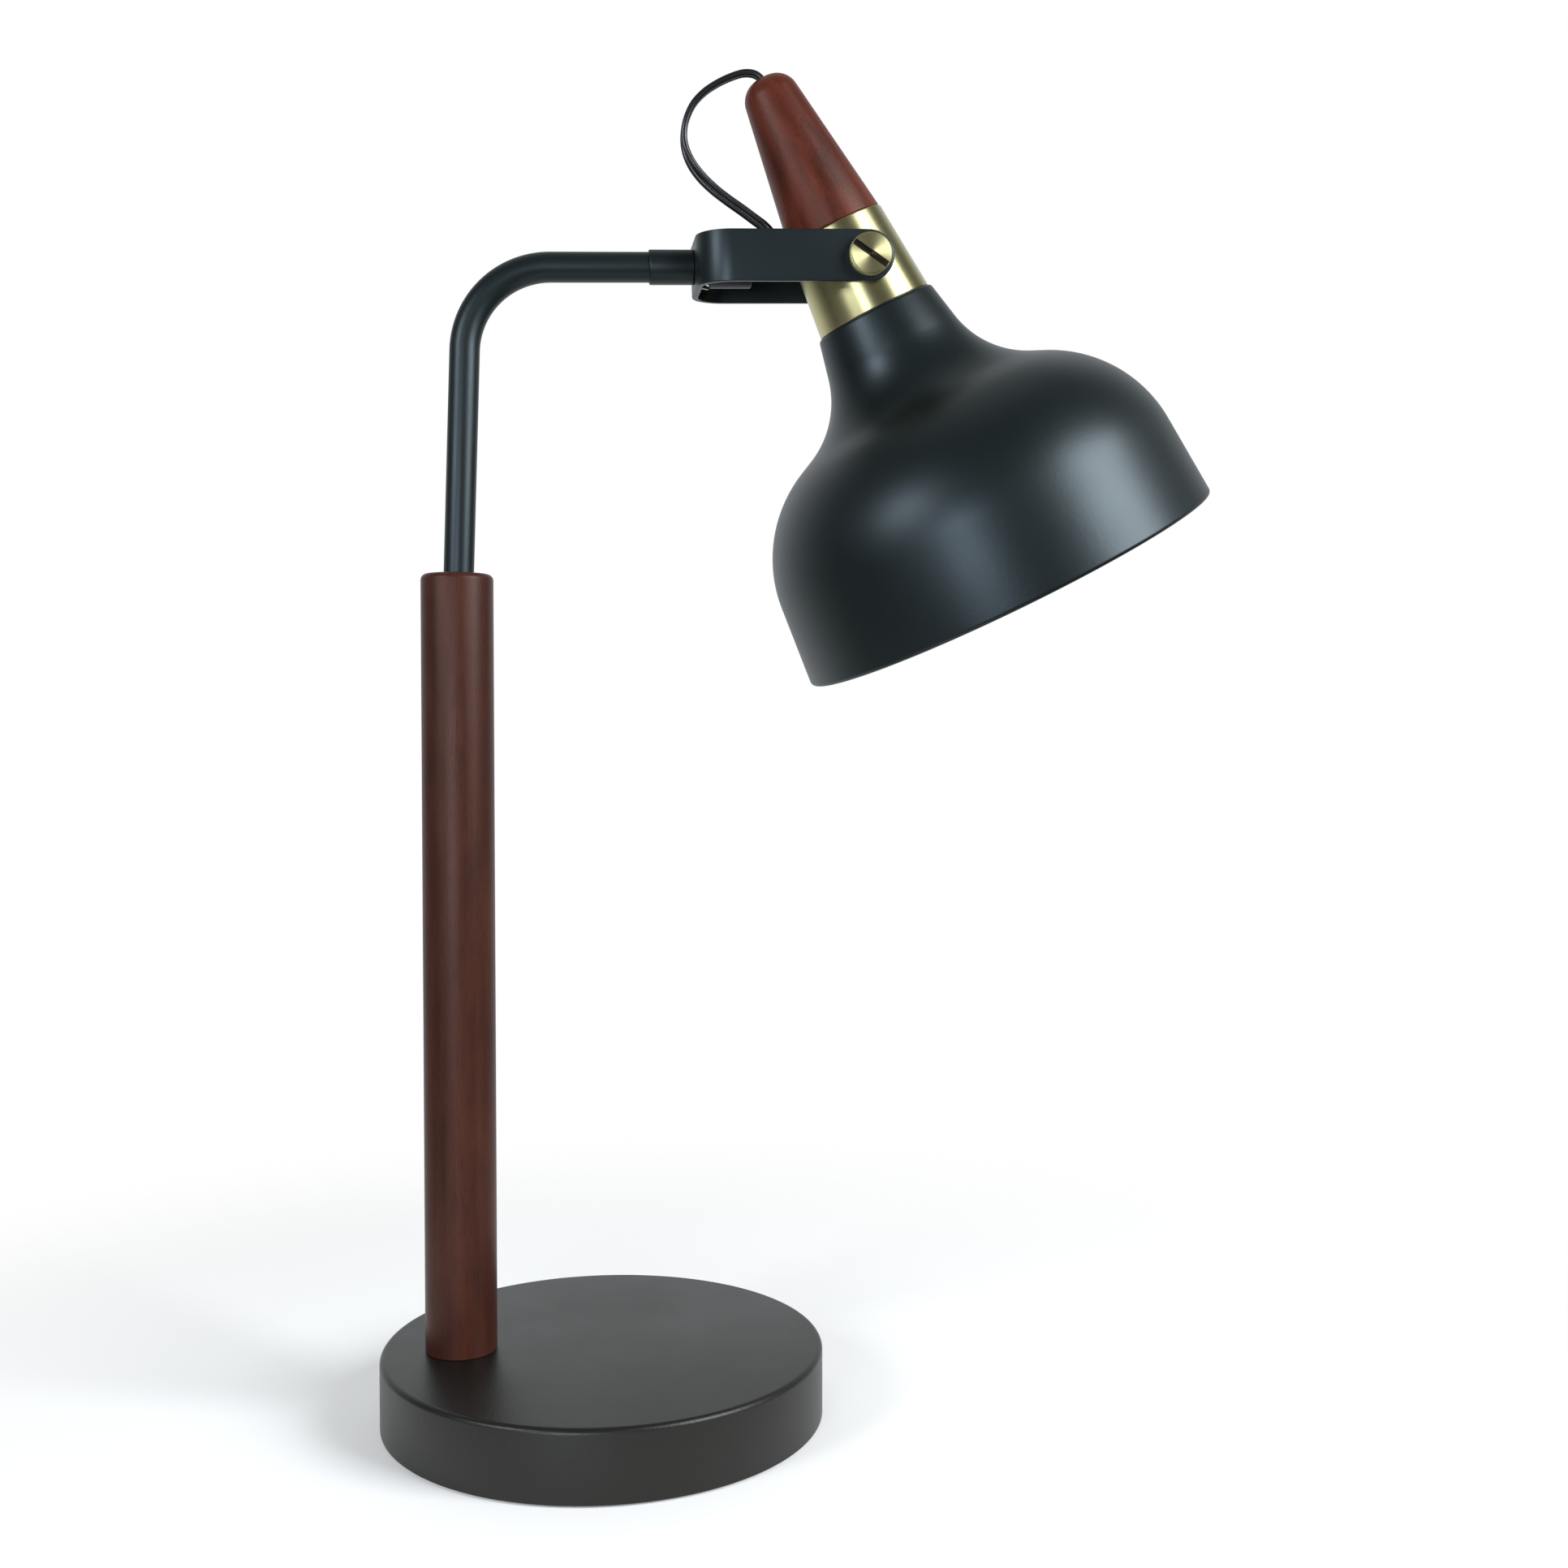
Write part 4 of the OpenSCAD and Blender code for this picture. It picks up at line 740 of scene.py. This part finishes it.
# Light scatters in the milky wall, so it glows softly where the other white pieces shade.
haze = add(tree, "ShaderNodeTexNoise", {"Vector": (coords, "Object"), "Scale": 80.0})
tone = add(tree, "ShaderNodeMix", {0: (haze, "Fac"), 6: srgb("#f0eee6"), 7: srgb("#f8f7f2")},
           data_type="RGBA")
feed(surface, {"Base Color": (tone, 2), "Roughness": 0.5, "IOR": 1.58, "Subsurface Weight": 0.4,
               "Subsurface Radius": (0.004, 0.004, 0.0035)})
open_end = np.degrees(np.arcsin(diffuser_rim_z / bulb_r))
diffuser = turned("bulb_globe", np.vstack([
    [(0, bulb_centre - bulb_r)], arc((0, bulb_centre), bulb_r, -88, open_end, 48),
    arc((0, bulb_centre), bulb_r - diffuser_wall, open_end, -88, 48),
    [(0, bulb_centre - bulb_r + diffuser_wall)]]),
    head, "head", frosted)
stands_for(diffuser, "opal", "bulb_diffuser")

nickel, tree, surface, coords = finish_of("nickel_plate")
# Thin bright plating, with a slightly uneven gloss about 3 mm across.
cloud = add(tree, "ShaderNodeTexNoise", {"Vector": (coords, "Object"), "Scale": 330.0})
tone = add(tree, "ShaderNodeMix", {0: (cloud, "Fac"), 6: srgb("#b8b3a8"), 7: srgb("#cdc9c0")},
           data_type="RGBA")
gloss = add(tree, "ShaderNodeMapRange", {"Value": (cloud, "Fac"), "To Min": 0.15,
                                         "To Max": 0.3})
feed(surface, {"Base Color": (tone, 2), "Roughness": (gloss, 0), "Metallic": 1.0})
shoulder_z = bulb_cap_end + bulb_cap_len - contact_h
steps = np.linspace(bulb_cap_end, shoulder_z, 80)
bulb_thread = rolled_thread(thread_pitch, bulb_cap_thread, bulb_cap_end + 2, shoulder_z)
screw_cap = turned("bulb_screw_cap", np.vstack([
    [(0, bulb_top), (contact_r, bulb_top), (contact_r + 1, bulb_top - 1),
     (bulb_cap_r - 4, shoulder_z + 3)],
    np.stack([np.full(len(steps), bulb_cap_r), steps[::-1]], 1),
    [(bulb_cap_r - bulb_cap_wall, bulb_cap_end), (bulb_cap_r - bulb_cap_wall, shoulder_z - 2),
     (bulb_cap_r - 5, shoulder_z + 1), (0, shoulder_z + 2)]]),
    head, "head", nickel, ripple=lambda angle, z, r: np.where(
        r > bulb_cap_r - 0.1, bulb_thread(angle, z, r), 0.0))
stands_for(screw_cap, "nickel", "bulb_cap")


# FLOOR AND LIGHT. A plain pale floor, three soft boxes from the front and a weak soft top
# light.
backdrop, tree, surface, coords = finish_of("white_paper_floor")
# Matt seamless paper with a faint tooth of about 1 mm. It fades into the white background
# from 0.12 m to 0.5 m from the middle of the foot.
tooth = add(tree, "ShaderNodeTexNoise", {"Vector": (coords, "Object"), "Scale": 900.0})
tone = add(tree, "ShaderNodeMix", {0: (tooth, "Fac"), 6: srgb("#ecebe8"), 7: srgb("#f0efec")},
           data_type="RGBA")
feed(surface, {"Base Color": (tone, 2), "Roughness": 0.95, "Specular IOR Level": 0.0,
               "Emission Color": srgb("#ffffff"), "Emission Strength": 0.2})
span = add(tree, "ShaderNodeVectorMath", {0: (coords, "Object")}, operation="LENGTH")
shown = add(tree, "ShaderNodeMapRange", {"Value": (span, "Value"), "From Min": 0.12,
                                         "From Max": 0.5, "To Min": 1.0, "To Max": 0.0},
            interpolation_type="SMOOTHSTEP")
feed(surface, {"Alpha": (shown, 0)})
# The paper reaches 20 m each way, but shows only round the foot.
floor_half = 20
floor_corners = [(x * floor_half, y * floor_half, 0)
                 for x, y in ((-1, -1), (1, -1), (1, 1), (-1, 1))]
floor_mesh = bpy.data.meshes.new("paper_floor")
floor_mesh.from_pydata(floor_corners, [], [(0, 1, 2, 3)])
floor_mesh.materials.append(backdrop)
floor = bpy.data.objects.new("paper_floor", floor_mesh)
bpy.context.scene.collection.objects.link(floor)


def soft_box(name, place, aim, size, power, tint="#ffffff"):
    """A square area light of a size in metres that faces a point, both in metres."""
    light = bpy.data.lights.new(name, "AREA")
    light.shape, light.size, light.energy = "SQUARE", size, power
    light.color = srgb(tint)[:3]
    lamp = bpy.data.objects.new(name, light)
    turn_to = (Vector(place) - Vector(aim)).to_track_quat("Z", "Y")
    lamp.matrix_world = Matrix.Translation(place) @ turn_to.to_matrix().to_4x4()
    bpy.context.scene.collection.objects.link(lamp)


middle = (0.12, -0.05, 0.36)
soft_box("right_box", (1.24, -0.85, 0.96), middle, 0.9, 34, "#f6faff")
soft_box("left_box", (-0.49, -1.4, 0.26), middle, 0.42, 9, "#eaf2ff")
soft_box("side_box", (-1.03, -0.8, 0.76), middle, 0.42, 8.5, "#f0f6ff")
soft_box("top_box", (-0.3, 0.3, 2.2), middle, 1.4, 2)
world = bpy.data.worlds.new("studio")
bpy.context.scene.world = world
world.use_nodes = True
sky = world.node_tree
sky.nodes.clear()
# White paper stands behind the lamp, and a dim room in front, which the camera sees as grey.
round_about = add(sky, "ShaderNodeTexCoord")
part = add(sky, "ShaderNodeSeparateXYZ", {0: (round_about, "Generated")})


def by_depth(from_y, to_y, front, back):
    """A value that runs from front to back with the Y part of a direction."""
    return add(sky, "ShaderNodeMapRange", {
        "Value": (part, "Y"), "From Min": from_y, "From Max": to_y, "To Min": front,
        "To Max": back}, interpolation_type="SMOOTHSTEP"), 0


room = add(sky, "ShaderNodeBackground", {"Color": srgb("#f2f7fa"),
                                         "Strength": by_depth(0.2, 0.9, 0.14, 0.95)})
paper = add(sky, "ShaderNodeBackground", {"Color": srgb("#ffffff"),
                                          "Strength": by_depth(-0.6, 0.2, 0.7, 1.0)})
seen = add(sky, "ShaderNodeLightPath")
both = add(sky, "ShaderNodeMixShader", {0: (seen, "Is Camera Ray"), 1: (room, 0), 2: (paper, 0)})
add(sky, "ShaderNodeOutputWorld", {"Surface": (both, 0)})
bpy.context.scene.view_settings.view_transform = "Standard"

bpy.context.view_layer.update()
